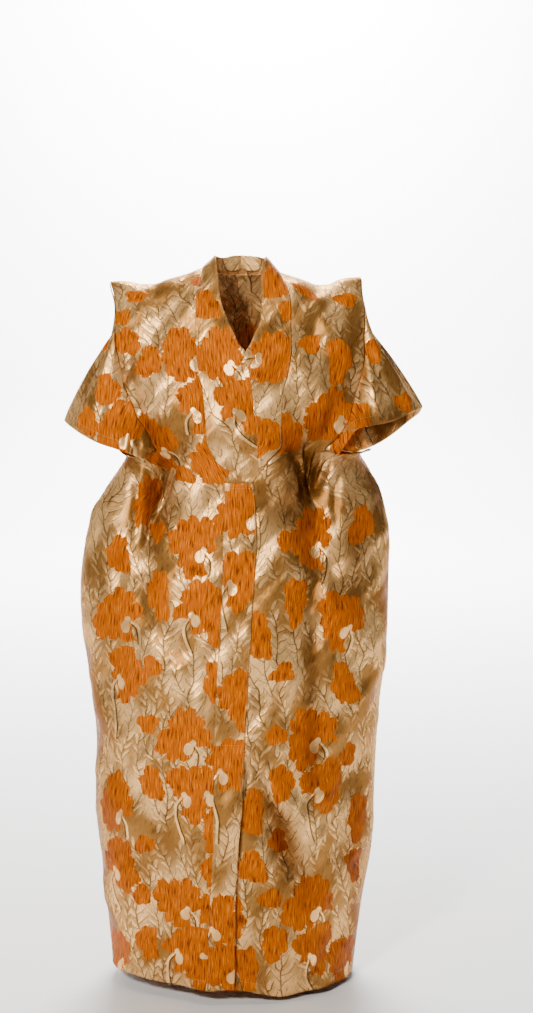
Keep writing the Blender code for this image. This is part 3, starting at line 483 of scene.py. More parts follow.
# Painted shade: places where the satin turns away from the light, darkened in the base colour; sizes in metres, depth
# from 0 to 1
PAINTED_SHADES: Table = (
    ("x", "z", "half_width", "half_height", "depth"),
    (-0.141, -0.390, 0.036, 0.085, 0.75), (-0.189, -0.318, 0.050, 0.026, 0.40), (-0.164, -0.532, 0.020, 0.100, 0.45),
    (0.125, -0.385, 0.050, 0.105, 0.75), (0.085, -0.470, 0.046, 0.055, 0.55), (0.149, -0.675, 0.016, 0.230, 0.60),
    (0.228, -0.561, 0.050, 0.110, 0.50), (0.235, -1.180, 0.045, 0.260, 0.40), (-0.255, -0.950, 0.040, 0.320, 0.35),
    (0.096, -1.131, 0.026, 0.100, 0.45), (-0.056, -0.276, 0.022, 0.055, 0.35), (0.286, -0.304, 0.050, 0.030, 0.40),
    (0.147, -0.941, 0.020, 0.110, 0.45), (-0.132, -1.093, 0.026, 0.070, 0.30), (0.170, -0.250, 0.030, 0.070, 0.35),
)

# One cell of the common repeat, for the sides that the front view doesn't show
REPEAT_WIDTH = 0.270
REPEAT_HEIGHT = 0.367
REPEAT_CELL: Table = (
    BLOOM_COLUMNS,
    (0.000, 0.000, "rose", 0), (0.012, -0.114, "fan", 0), (-0.070, -0.100, "tall", 5), (-0.072, 0.026, "bud", 0),
    (0.128, -0.140, "rose", 180), (0.142, -0.026, "tulip", 10), (0.075, -0.062, "bud", 50),
)


class Face(Enum):
    """Half of the robe that a surface belongs to."""

    FRONT = -1
    BACK = 1


class Side(Enum):
    """The wearer's side that a piece belongs to."""

    RIGHT = -1
    LEFT = 1


class Held(Enum):
    """How a sheet of cloth is held."""

    GATHERED = "gathered"
    DRAPED = "draped"
    LAID = "laid"


def column(table: Table, name: str) -> Array:
    """Reads one named column of a table.

    Args:
        table: rows under a first row of names.
        name: the column's name.

    Returns:
        The column's values.
    """
    at = list(table[0]).index(name)
    return np.array([row[at] for row in table[1:]], dtype=float)


def curve(table: Table, key: str, name: str, at: Array | float) -> Array:
    """Reads a table as a smooth curve that makes no bumps of its own.

    Args:
        table: rows under a first row of names.
        key: the column that at is measured on.
        name: the column to read.
        at: where to read it.

    Returns:
        The curve's values.
    """
    xs = column(table, key)
    ys = column(table, name)
    at = np.clip(np.asarray(at, dtype=float), xs[0], xs[-1])
    step = np.diff(xs)
    rise = np.diff(ys) / step
    slope = np.zeros(len(xs))
    same = rise[:-1] * rise[1:] > 0
    left = 2 * step[1:] + step[:-1]
    right = step[1:] + 2 * step[:-1]
    low = np.where(same, rise[:-1], 1.0)
    high = np.where(same, rise[1:], 1.0)
    slope[1:-1] = np.where(same, (left + right) / (left / low + right / high), 0.0)
    slope[0] = rise[0]
    slope[-1] = rise[-1]
    i = np.clip(np.searchsorted(xs, at, side="right") - 1, 0, len(step) - 1)
    t = (at - xs[i]) / step[i]
    h = step[i]
    start = ys[i] * (1 + 2 * t) * (1 - t) ** 2 + slope[i] * h * t * (1 - t) ** 2
    return start + ys[i + 1] * t * t * (3 - 2 * t) + slope[i + 1] * h * t * t * (t - 1)


def smooth(value: Array | float) -> Array:
    """Soft step.

    Args:
        value: runs from 0 to 1 over the step.

    Returns:
        The eased value.
    """
    t = np.clip(value, 0.0, 1.0)
    return t * t * (3 - 2 * t)


def unit(vectors: Array) -> Array:
    """Scales vectors to length 1.

    Args:
        vectors: an array whose last axis is x, y, z.

    Returns:
        The unit vectors.
    """
    return vectors / np.maximum(np.linalg.norm(vectors, axis=-1, keepdims=True), 1e-12)


def fold_depth(folds: Lines, x: Array, z: Array) -> Array:
    """Adds up the folds of one half at some points.

    Args:
        folds: lines of (x, z, width, depth).
        x: the points' x.
        z: the points' z.

    Returns:
        How far the folds move each point outwards.
    """
    total = np.zeros(np.shape(x))
    for line in folds.values():
        widest = 3.2 * max(point[2] for point in line)
        xs = [point[0] for point in line]
        zs = [point[1] for point in line]
        near = (x > min(xs) - widest) & (x < max(xs) + widest) & (z > min(zs) - widest) & (z < max(zs) + widest)
        if not near.any():
            continue
        px = x[near]
        pz = z[near]
        nearest = np.full(px.shape, 1e9)
        depth = np.zeros(px.shape)
        for (ax, az, aw, ad), (bx, bz, bw, bd) in zip(line[:-1], line[1:]):
            run = (bx - ax) ** 2 + (bz - az) ** 2
            t = np.clip(((px - ax) * (bx - ax) + (pz - az) * (bz - az)) / run, 0.0, 1.0)
            ratio = np.hypot(px - ax - t * (bx - ax), pz - az - t * (bz - az)) / (aw + t * (bw - aw))
            closer = ratio < nearest
            nearest = np.where(closer, ratio, nearest)
            depth = np.where(closer, ad + t * (bd - ad), depth)
        total[near] += depth * np.exp(-(nearest**2))
    return total


@dataclass
class RobeForm:
    """The robe's middle surface as a function of the angle round a row and the drop from the shoulder."""

    creases: bool = True
    wave: float = 1.6
    seam_fade: float = 0.20

    def turn(self, drop: Array | float) -> Array:
        """Finds the armhole line.

        Args:
            drop: distance down from the shoulder.

        Returns:
            The line's angle round the row.
        """
        return np.radians(curve(BODY, "drop", "turn", drop))

    def width(self, side: Array, drop: Array) -> Array:
        """Finds the half width of a whole row.

        Args:
            side: below nought on the wearer's right.
            drop: distance down from the shoulder.

        Returns:
            The half width.
        """
        turn = np.sin(self.turn(drop))
        high = np.asarray(drop) < ARMHOLE_DROP
        right = np.where(high, curve(EDGE_RIGHT, "drop", "x", drop) / turn, curve(SIDE_RIGHT, "drop", "x", drop))
        left = np.where(high, curve(EDGE_LEFT, "drop", "x", drop) / turn, curve(SIDE_LEFT, "drop", "x", drop))
        return np.abs(np.where(np.asarray(side) < 0, right, left))

    def rise(self, side: Array, drop: Array) -> Array:
        """Finds how much higher than its middle a row ends at the side.

        Args:
            side: below nought on the wearer's right.
            drop: distance down from the shoulder.

        Returns:
            The rise.
        """
        turn = np.sin(self.turn(drop)) ** 2
        high = np.asarray(drop) < ARMHOLE_DROP
        right = np.where(
            high, (curve(EDGE_RIGHT, "drop", "z", drop) + drop) / turn, curve(SIDE_RIGHT, "drop", "z", drop) + drop
        )
        left = np.where(
            high, (curve(EDGE_LEFT, "drop", "z", drop) + drop) / turn, curve(SIDE_LEFT, "drop", "z", drop) + drop
        )
        return np.where(np.asarray(side) < 0, right, left)

    def angle(self, x: Array, drop: Array) -> Array:
        """Turns an x into the angle round its row.

        Args:
            x: distance from the middle.
            drop: distance down from the shoulder.

        Returns:
            The angle, below nought on the wearer's right.
        """
        return np.sign(x) * np.arcsin(np.clip(np.abs(x) / self.width(x, drop), 0, 1))

    def plain(self, angle: Array, drop: Array, face: Face) -> Array:
        """Finds points of the body without its folds.

        Args:
            angle: angle round the row.
            drop: distance down from the shoulder.
            face: the half.

        Returns:
            The points.
        """
        across = np.sin(angle)
        x = self.width(angle, drop) * across
        depth = curve(BODY, "drop", "front" if face is Face.FRONT else "back", drop)
        low = -drop + self.rise(angle, drop) * across**2
        sag = HEM_SAG + HEM_DIP * np.exp(-(((x - HEM_DIP_X) / HEM_DIP_WIDTH) ** 2))
        low = low - sag * np.cos(angle) ** 2 * smooth((drop - 1.1) / 0.29)
        near = np.exp(-((drop / RIDGE_REACH) ** 2))
        z = near * (curve(SHOULDER, "x", "z", x) - drop) + (1 - near) * low
        return np.stack([x, face.value * depth * np.cos(angle), z], axis=-1)

    def normal_of(self, place: Callable[[Array, Array, Face], Array], angle: Array, drop: Array, face: Face) -> Array:
        """Finds outward normals of a surface, level across the shoulder and side seams.

        Args:
            place: the surface.
            angle: angle round the row.
            drop: distance down from the shoulder.
            face: the half.

        Returns:
            The unit normals.
        """
        step = 0.002
        high = np.maximum(drop - step, 0.0)
        low = np.minimum(drop + step, HEM_DROP)
        across = place(angle + step, drop, face) - place(angle - step, drop, face)
        normal = np.cross(across, place(angle, low, face) - place(angle, high, face)) * face.value
        seam = (drop < 1e-6) | (np.abs(angle) > math.pi / 2 - 1e-6)
        normal[..., 1] = np.where(seam, 0.0, normal[..., 1])
        return unit(normal)

    def folded(self, angle: Array, drop: Array, face: Face) -> Array:
        """Finds points of the body with its folds, creases and soft waves.

        Args:
            angle: angle round the row.
            drop: distance down from the shoulder.
            face: the half.

        Returns:
            The points.
        """
        base = self.plain(angle, drop, face)
        normal = self.normal_of(self.plain, angle, drop, face)
        x = base[..., 0]
        z = base[..., 2]
        front = face is Face.FRONT
        depth = fold_depth(FRONT_FOLDS if front else BACK_FOLDS, x, z)
        if self.creases:
            depth = depth + fold_depth(FRONT_CREASES if front else BACK_CREASES, x, z)
            for across, down, start, height in WAVES[1:]:
                depth = depth + self.wave * height * np.sin(2 * math.pi * (across * x + down * z) + start + face.value)
        depth = depth * smooth((math.pi / 2 - np.abs(angle)) / self.seam_fade) * smooth(drop / 0.03)
        return base + normal * depth[..., None]

    def normal(self, angle: Array, drop: Array, face: Face) -> Array:
        """Finds outward normals of the folded body.

        Args:
            angle: angle round the row.
            drop: distance down from the shoulder.
            face: the half.

        Returns:
            The unit normals.
        """
        return self.normal_of(self.folded, angle, drop, face)


def rows_between(marks: Sequence[float], steps: Sequence[float]) -> Array:
    """Divides the drop into rows.

    Args:
        marks: drops that are rows themselves.
        steps: about how far apart the rows are after each mark.

    Returns:
        The drops of the rows.
    """
    parts = [np.linspace(a, b, max(2, round((b - a) / s)) + 1)[:-1] for a, b, s in zip(marks[:-1], marks[1:], steps)]
    return np.concatenate(parts + [np.array([marks[-1]])])


ROW_MARKS = (0.0, 0.030, 0.260, ARMHOLE_DROP, WAIST_DROP, 0.560, HEM_DROP)
ROW_STEPS = (0.003, 0.0046, 0.0034, 0.003, 0.0034, 0.0060)
ROWS = rows_between(ROW_MARKS, ROW_STEPS)
ARMHOLE_ROW = int(np.argmin(np.abs(ROWS - ARMHOLE_DROP)))
WAIST_ROW = int(np.argmin(np.abs(ROWS - WAIST_DROP)))


@dataclass
class ClothGrid:
    """Middle surface of one piece: a grid of vertices with their places on the flat cut."""

    points: Array
    normals: Array
    flat: Array
    keep: Array
    closed: bool = False
    size: tuple[float, float] | None = None

    @property
    def shape(self) -> tuple[int, int]:
        """Rows and columns of the grid."""
        return self.points.shape[:2]

    def corners(self) -> tuple[Array, Array]:
        """Lists the four corners of each kept cell.

        Returns:
            Vertex numbers, cells x 4, and flat places, cells x 4 x 2.
        """
        high, wide = self.shape
        ids = np.arange(high * wide).reshape(high, wide)
        flat = self.flat
        if self.closed:
            ids = np.concatenate([ids, ids[:, :1]], axis=1)
        first, second = ids[:-1], ids[1:]
        cells = np.stack([first[:, :-1], first[:, 1:], second[:, 1:], second[:, :-1]], axis=-1)
        one, two = flat[:-1], flat[1:]
        places = np.stack([one[:, :-1], one[:, 1:], two[:, 1:], two[:, :-1]], axis=2)
        return cells[self.keep], places[self.keep]

    def cut_size(self) -> tuple[tuple[float, float], float]:
        """Measures the flat cut, which has the cloth's own area, because the cloth isn't stretched.

        Returns:
            Its width and length in metres (the mean length of a closed piece), and its area.
        """
        cells, places = self.corners()
        size = self.size or tuple(float(span) for span in np.ptp(places.reshape(-1, 2), axis=0))
        points = self.points.reshape(-1, 3)
        one = points[cells[:, 2]] - points[cells[:, 0]]
        two = points[cells[:, 3]] - points[cells[:, 1]]
        area = float(np.linalg.norm(np.cross(one, two), axis=1).sum() / 2)
        LOG.info("Cut %.3f x %.3f m, area %.3f m2", size[0], size[1], area)
        return size, area

    def edge_line(self, last: bool, inset: float, first_row: int = 0) -> tuple[Array, Array]:
        """Finds a line at a fixed distance inside the first or the last column.

        Args:
            last: True for the last column.
            inset: the distance in metres.
            first_row: the row at which the line starts.

        Returns:
            The line's points and normals.
        """
        points, normals = [], []
        for row in range(first_row, self.shape[0]):
            across = self.flat[row, : self.shape[1], 0]
            at = across[-1] - np.sign(across[-1] - across[0]) * inset if last else across[0] + np.sign(across[-1] - across[0]) * inset
            order = np.argsort(across)
            points.append([np.interp(at, across[order], self.points[row, order, k]) for k in range(3)])
            normals.append([np.interp(at, across[order], self.normals[row, order, k]) for k in range(3)])
        return np.array(points), unit(np.array(normals))

    def hem_line(self, inset: float) -> tuple[Array, Array]:
        """Finds a line at a fixed distance above the last row.

        Args:
            inset: the distance in metres.

        Returns:
            The line's points and normals.
        """
        down = np.linalg.norm(np.diff(self.points, axis=0), axis=-1)
        away = np.concatenate([np.cumsum(down[::-1], axis=0)[::-1], np.zeros((1, self.shape[1]))])
        points, normals = [], []
        for c in range(self.shape[1]):
            at = away[::-1, c]
            points.append([np.interp(inset, at, self.points[::-1, c, k]) for k in range(3)])
            normals.append([np.interp(inset, at, self.normals[::-1, c, k]) for k in range(3)])
        return np.array(points), unit(np.array(normals))


@dataclass(frozen=True)
class BloomKind:
    """One kind of blossom of the brocade: half sizes in metres, lobes and the side of its calyx."""

    half_width: float
    half_height: float
    lobes: int
    calyx: int
    start: float


BLOOM_KINDS: dict[str, BloomKind] = {
    "rose": BloomKind(0.056, 0.060, 11, 1, 0.4),
    "fan": BloomKind(0.052, 0.060, 9, -1, 1.3),
    "tall": BloomKind(0.030, 0.050, 7, 0, 2.2),
    "tulip": BloomKind(0.030, 0.036, 7, 0, 0.9),
    "bud": BloomKind(0.026, 0.021, 5, 0, 3.0),
}


@dataclass
class BloomPlan:
    """Where the blossoms of one piece sit on its flat cut."""

    table: Table
    face: Face | None = None

    def centres(self, grid: ClothGrid) -> tuple[Array, list[BloomKind], Array]:
        """Finds the blossoms' places on the flat cut.

        Args:
            grid: the piece's grid.

        Returns:
            Flat places, kinds and turns in radians.
        """
        high, wide = grid.shape
        points = grid.points.reshape(-1, 3)
        flat = grid.flat[:, :wide].reshape(-1, 2)
        wrong = np.zeros(len(points))
        if self.face is not None:
            wrong = np.where(grid.normals.reshape(-1, 3)[:, 1] * self.face.value < 0, 1.0, 0.0)
        places, kinds, turns = [], [], []
        for x, z, kind, turn in self.table[1:]:
            away = np.hypot(points[:, 0] - x, points[:, 2] - z) + wrong
            nearest = int(np.argmin(away))
            offset = np.array([x - points[nearest, 0], points[nearest, 2] - z]) if away[nearest] < 0.2 else np.zeros(2)
            places.append(flat[nearest] + offset)
            kinds.append(BLOOM_KINDS[kind])
            turns.append(math.radians(turn))
        return np.array(places), kinds, np.array(turns)


@dataclass
class RepeatPlan:
    """The common repeat all over a piece."""

    shift: tuple[float, float] = (0.0, 0.0)

    def centres(self, grid: ClothGrid) -> tuple[Array, list[BloomKind], Array]:
        """Finds the blossoms' places on the flat cut.

        Args:
            grid: the piece's grid.

        Returns:
            Flat places, kinds and turns in radians.
        """
        low = grid.flat.reshape(-1, 2).min(axis=0)
        high = grid.flat.reshape(-1, 2).max(axis=0)
        places, kinds, turns = [], [], []
        for i in range(math.floor(low[0] / REPEAT_WIDTH) - 1, math.ceil(high[0] / REPEAT_WIDTH) + 2):
            for j in range(math.floor(low[1] / REPEAT_HEIGHT) - 1, math.ceil(high[1] / REPEAT_HEIGHT) + 2):
                for x, z, kind, turn in REPEAT_CELL[1:]:
                    places.append((self.shift[0] + i * REPEAT_WIDTH + x, self.shift[1] + j * REPEAT_HEIGHT - z))
                    kinds.append(BLOOM_KINDS[kind])
                    turns.append(math.radians(turn))
        return np.array(places), kinds, np.array(turns)


def painted_shade_at(points: Array) -> Array:
    """Finds the painted shade of the satin: darkening at the places named above and in the troughs of the creases.

    Args:
        points: points x 3.

    Returns:
        Shares from 0 to 0.9.
    """
    x, y, z = points.T
    total = np.zeros(len(points))
    for place_x, place_z, half_width, half_height, depth in PAINTED_SHADES[1:]:
        total += depth * np.exp(-(((x - place_x) / half_width) ** 2) - ((z - place_z) / half_height) ** 2)
    # Painted shade in the crease troughs, added to the listed places
    crease = np.where(y < 0, fold_depth(FRONT_CREASES, x, z), fold_depth(BACK_CREASES, x, z))
    return np.clip(total + 0.6 * np.clip(-crease / 0.009, 0.0, 1.0), 0.0, 0.9)


@dataclass
class ClothBuilder:
    """Makes closed walls of cloth from grids."""

    wall: float = WALL
    trim: float = SEAM_TRIM
    rim_inset: float = 0.0004
    rim_share: float = 0.55
    made: dict[str, bpy.types.Object] = field(default_factory=dict)

    def build(
        self, name: str, grid: ClothGrid, plan: BloomPlan | RepeatPlan, material: bpy.types.Material
    ) -> bpy.types.Object:
        """Makes one piece with rounded edges and its maps.

        Args:
            name: the object's name.
            grid: the piece's grid.
            plan: where its blossoms sit.
            material: its cloth.

        Returns:
            The object.
        """
        cells, places = grid.corners()
        used, cells = np.unique(cells, return_inverse=True)
        cells = cells.reshape(-1, 4)
        points = grid.points.reshape(-1, 3)[used]
        normals = grid.normals.reshape(-1, 3)[used]
        a, b, c = (points[cells[:, k]] for k in range(3))
        if (np.cross(b - a, c - a) * normals[cells[:, 0]]).sum() < 0:
            cells = cells[:, ::-1]
            places = places[:, ::-1]
        count = len(points)
        starts = cells.reshape(-1)
        ends = np.roll(cells, -1, axis=1).reshape(-1)
        keys = np.minimum(starts, ends) * count + np.maximum(starts, ends)
        _, inverse, total = np.unique(keys, return_inverse=True, return_counts=True)
        rim = np.flatnonzero(total[inverse] == 1)
        ra, rb = starts[rim], ends[rim]
        middle = points[cells].mean(axis=1)[rim // 4]
        along = unit(points[rb] - points[ra])
        away = middle - points[ra]
        away = unit(away - along * (away * along).sum(axis=1, keepdims=True))
        inward = np.zeros((count, 3))
        np.add.at(inward, ra, away)
        np.add.at(inward, rb, away)
        on_rim = np.zeros(count, bool)
        on_rim[ra] = True
        inward = unit(inward)
        centre = points + inward * self.trim * on_rim[:, None]
        inset = centre + inward * self.rim_inset * on_rim[:, None]
        half = normals * (self.wall / 2) * np.where(on_rim, self.rim_share, 1.0)[:, None]
        vertices = np.concatenate([inset + half, inset - half, centre])
        rim_faces = [np.stack([rb, ra, ra + 2 * count, rb + 2 * count], axis=1)]
        rim_faces.append(np.stack([rb + 2 * count, ra + 2 * count, ra + count, rb + count], axis=1))
        faces = np.concatenate([cells, cells[:, ::-1] + count] + rim_faces)
        flat_a = places.reshape(-1, 2)[rim]
        flat_b = places[rim // 4, (rim % 4 + 1) % 4]
        rim_flat = np.stack([flat_b, flat_a, flat_a, flat_b], axis=1)
        flat = np.concatenate([places, places[:, ::-1], rim_flat, rim_flat])
        thing = self.mesh_object(name, vertices, faces, material)
        self.add_map(thing, "Cloth", flat.reshape(-1, 2))
        self.add_blooms(thing, flat, plan.centres(grid))
        # Painted shade for each corner: darkening at the listed places and in crease troughs, kept in a map for the
        # material
        tone = painted_shade_at(points)
        rim_painted_shade = tone[np.stack([rb, ra, ra, rb], axis=1)]
        tone = np.concatenate([tone[cells], tone[cells[:, ::-1]], rim_painted_shade, rim_painted_shade]).reshape(-1)
        self.add_map(thing, "Tone", np.stack([tone, 0 * tone], axis=-1))
        self.made[name] = thing
        LOG.info("%s: %d faces", name, len(faces))
        return thing

    def mesh_object(self, name: str, vertices: Array, faces: Array, material: bpy.types.Material) -> bpy.types.Object:
        """Makes a smooth mesh object from four-sided faces.

        Args:
            name: the object's name.
            vertices: points.
            faces: vertex numbers, faces x 4.
            material: its material.

        Returns:
            The object.
        """
        mesh = bpy.data.meshes.new(name + "_cloth")
        used, faces = np.unique(faces, return_inverse=True)
        mesh.from_pydata(vertices[used].tolist(), [], faces.reshape(-1, 4).tolist())
        mesh.materials.append(material)
        mesh.shade_smooth()
        mesh.update()
        thing = bpy.data.objects.new(name + "_cloth", mesh)
        bpy.context.scene.collection.objects.link(thing)
        return thing

    def add_map(self, thing: bpy.types.Object, name: str, places: Array) -> None:
        """Adds a map with one place for each face corner.

        Args:
            thing: the object.
            name: the map's name.
            places: corners x 2.
        """
        layer = thing.data.uv_layers.new(name=name)
        layer.data.foreach_set("uv", places.astype(np.float32).reshape(-1))

    def add_blooms(self, thing: bpy.types.Object, flat: Array, centres: tuple[Array, list[BloomKind], Array]) -> None:
        """Adds maps that give each face its place in the nearest blossom and that blossom's shape.

        Args:
            thing: the object.
            flat: flat places of the corners, faces x 4 x 2.
            centres: flat places, kinds and turns of the blossoms.
        """
        places, kinds, turns = centres
        half = np.array([[kind.half_width, kind.half_height] for kind in kinds])
        lobes = np.array([kind.lobes + (kind.calyx + 1) * 100 for kind in kinds], dtype=float)
        start = np.array([kind.start for kind in kinds]) + 0.7 * np.arange(len(kinds))
        middle = flat.mean(axis=1)
        best = np.full(len(middle), 1e9)
        owner = np.zeros(len(middle), int)
        for k in range(len(places)):
            away = np.linalg.norm((middle - places[k]) / half[k], axis=1) - 0.1 * (lobes[k] > 150)
            closer = away < best
            best = np.where(closer, away, best)
            owner = np.where(closer, k, owner)
        away = flat - places[owner][:, None]
        away[..., 1] *= -1
        cos, sin = np.cos(turns[owner])[:, None], np.sin(turns[owner])[:, None]
        turned = np.stack([away[..., 0] * cos + away[..., 1] * sin, away[..., 1] * cos - away[..., 0] * sin], axis=-1)
        self.add_map(thing, "Bloom", (turned / half[owner][:, None]).reshape(-1, 2))
        shape = np.stack([lobes[owner], start[owner] % (2 * math.pi)], axis=-1)
        self.add_map(thing, "BloomShape", np.repeat(shape[:, None], 4, axis=1).reshape(-1, 2))


def flat_places(points: Array, origin_column: int, closed: bool = False) -> Array:
    """Measures a grid's places on the flat cut by distances on the cloth.

    Args:
        points: rows x columns x 3.
        origin_column: the column where across starts, and along which down is measured.
        closed: True where the last column joins the first; down is then measured along each column.

    Returns:
        Places, rows x columns x 2, with one more column where it is closed.
    """
    ring = np.concatenate([points, points[:, :1]], axis=1) if closed else points
    across = np.zeros(ring.shape[:2])
    across[:, 1:] = np.cumsum(np.linalg.norm(np.diff(ring, axis=1), axis=-1), axis=1)
    across -= across[:, origin_column : origin_column + 1]
    down = np.zeros(ring.shape[:2])
    step = np.diff(ring, axis=0)
    if closed:
        line = unit(np.gradient(ring, axis=1))[:-1]
        step = step - line * (step * line).sum(axis=-1, keepdims=True)
    down[1:] = np.cumsum(np.linalg.norm(step, axis=-1), axis=0)
    if not closed:
        down = np.repeat(down[:, origin_column : origin_column + 1], ring.shape[1], axis=1)
    return np.stack([across, down], axis=-1)


@dataclass
class SeamDip:
    """Soft groove and slight pucker of the cloth beside a sewn seam."""

    depth: float = 0.0007
    reach: float = 0.0030
    pucker: float = 0.0004
    pucker_reach: float = 0.012
    pucker_pitch: float = 0.017

    def at(self, away: Array, along: Array) -> Array:
        """Finds how far the cloth dips.

        Args:
            away: distance from the seam.
            along: distance along the seam.

        Returns:
            The move along the normal.
        """
        wave = np.sin(2 * math.pi * along / self.pucker_pitch + 2.4 * np.sin(along * 23.0))
        groove = -self.depth * np.exp(-((away / self.reach) ** 2))
        ease = 1 - np.exp(-((away / (0.4 * self.pucker_reach)) ** 2))
        return groove + self.pucker * wave * np.exp(-((away / self.pucker_reach) ** 2)) * ease


@dataclass
class FrontPieces:
    """Two fronts and the placket that lies on both below the waist."""

    form: RobeForm
    builder: ClothBuilder
    inner_steps: int = 92
    flank_steps: int = 30
    lap_steps: int = 2
    middle_steps: int = 14
    dip: SeamDip = field(default_factory=SeamDip)

    def lines(self, drop: Array) -> list[Array]:
        """Finds the seams of the middle of the front and the laps beside them.

        Args:
            drop: the rows.

        Returns:
            x of the right seam, its lap, the left lap and the left seam.
        """
        right = curve(FRONT_LINES, "drop", "seam_right", drop)
        left = curve(FRONT_LINES, "drop", "seam_left", drop)
        return [right, right + LAP, left - LAP, left]

    def outer_angles(self, inner: Array, side: Side) -> Array:
        """Finds the angles from the inner seam out to the side seam.

        Args:
            inner: the inner seam's angle in each row.
            side: the wearer's side.

        Returns:
            Angles, rows x columns.
        """
        turn = side.value * self.form.turn(ROWS)[:, None]
        share = np.linspace(0, 1, self.inner_steps)[None, :]
        near = inner[:, None] + (turn - inner[:, None]) * share
        more = np.linspace(0, 1, self.flank_steps)[None, 1:]
        return np.concatenate([near, turn + (side.value * math.pi / 2 - turn) * more], axis=1)

    def grid(self, angle: Array, keep: Array, origin: int, seams: Sequence[int]) -> ClothGrid:
        """Makes a grid of the front.

        Args:
            angle: angles, rows x columns.
            keep: which cells there are.
            origin: the column where the flat cut starts.
            seams: columns that are seams.

        Returns:
            The grid.
        """
        drop = np.repeat(ROWS[:, None], angle.shape[1], axis=1)
        points = self.form.folded(angle, drop, Face.FRONT)
        normals = self.form.normal(angle, drop, Face.FRONT)
        flat = flat_places(points, origin)
        for c in seams:
            away = np.abs(flat[..., 0] - flat[:, c : c + 1, 0])
            points = points + normals * self.dip.at(away, flat[..., 1])[..., None]
        flat[..., 0] += self.form.plain(angle[:, origin], ROWS, Face.FRONT)[0, 0]
        return ClothGrid(points, normals, flat, keep)

    def right(self, material: bpy.types.Material) -> ClothGrid:
        """Builds the right front.

        Args:
            material: its cloth.

        Returns:
            Its grid.
        """
        seam, lap, _, _ = self.lines(ROWS)
        outer = self.outer_angles(self.form.angle(seam, ROWS), Side.RIGHT)[:, ::-1]
        shares = np.linspace(0, 1, self.lap_steps + 1)[1:]
        under = np.stack([self.form.angle(seam + (lap - seam) * t, ROWS) for t in shares], axis=1)
        angle = np.concatenate([outer, under], axis=1)
        row, col = np.mgrid[: len(ROWS) - 1, : angle.shape[1] - 1]
        keep = (row >= ARMHOLE_ROW) | (col >= self.flank_steps - 1)
        grid = self.grid(angle, keep, outer.shape[1] - 1, (outer.shape[1] - 1, 0))
        self.builder.build("front_right", grid, BloomPlan(FRONT_BLOOMS), material)
        return grid

    def left(self, material: bpy.types.Material) -> ClothGrid:
        """Builds the left front, which runs on under the placket below the waist.

        Args:
            material: its cloth.

        Returns:
            Its grid.
        """
        _, low, lap, seam = self.lines(ROWS)
        shares = np.linspace(0, 1, self.middle_steps + 1)[:-1]
        under = [self.form.angle(low + (lap - low) * t, ROWS) for t in shares]
        under += [self.form.angle(lap + (seam - lap) * t, ROWS) for t in np.linspace(0, 1, self.lap_steps + 1)[:-1]]
        outer = self.outer_angles(self.form.angle(seam, ROWS), Side.LEFT)
        angle = np.concatenate([np.stack(under, axis=1), outer], axis=1)
        row, col = np.mgrid[: len(ROWS) - 1, : angle.shape[1] - 1]
        keep = (col >= self.middle_steps) | (row >= WAIST_ROW)
        keep &= (row >= ARMHOLE_ROW) | (col < angle.shape[1] - self.flank_steps)
        start = self.middle_steps + self.lap_steps
        grid = self.grid(angle, keep, start, (start, angle.shape[1] - 1))
        away = np.linalg.norm(grid.points - grid.points[:, start : start + 1], axis=-1)
        slit = np.exp(-((away / 0.007) ** 2)) * smooth((ROWS[:, None] - 0.925) / 0.05)
        grid.points = grid.points - grid.normals * (0.0045 * slit)[..., None]
        self.builder.build("front_left", grid, BloomPlan(FRONT_BLOOMS), material)
        return grid

    def placket(self, material: bpy.types.Material) -> ClothGrid:
        """Builds the placket on the fronts.

        Args:
            material: its cloth.

        Returns:
            Its grid.
        """
        rows = ROWS[WAIST_ROW:]
        right, _, _, left = self.lines(rows)
        xs = right[:, None] + (left - right)[:, None] * np.linspace(0, 1, 25)[None, :]
        drop = np.repeat(rows[:, None], 25, axis=1)
        angle = self.form.angle(xs, drop)
        normals = self.form.normal(angle, drop, Face.FRONT)
        points = self.form.folded(angle, drop, Face.FRONT) + normals * LAYER
        free = smooth((drop - 0.925) / 0.05) * np.linspace(0, 1, 25)[None, :] ** 4
        points = points + normals * (0.0026 * free)[..., None]
        flat = flat_places(points, 12)
        grid = ClothGrid(points, normals, flat, np.ones((len(rows) - 1, 24), bool))
        self.builder.build("front_placket", grid, BloomPlan(PLACKET_BLOOMS), material)
        return grid


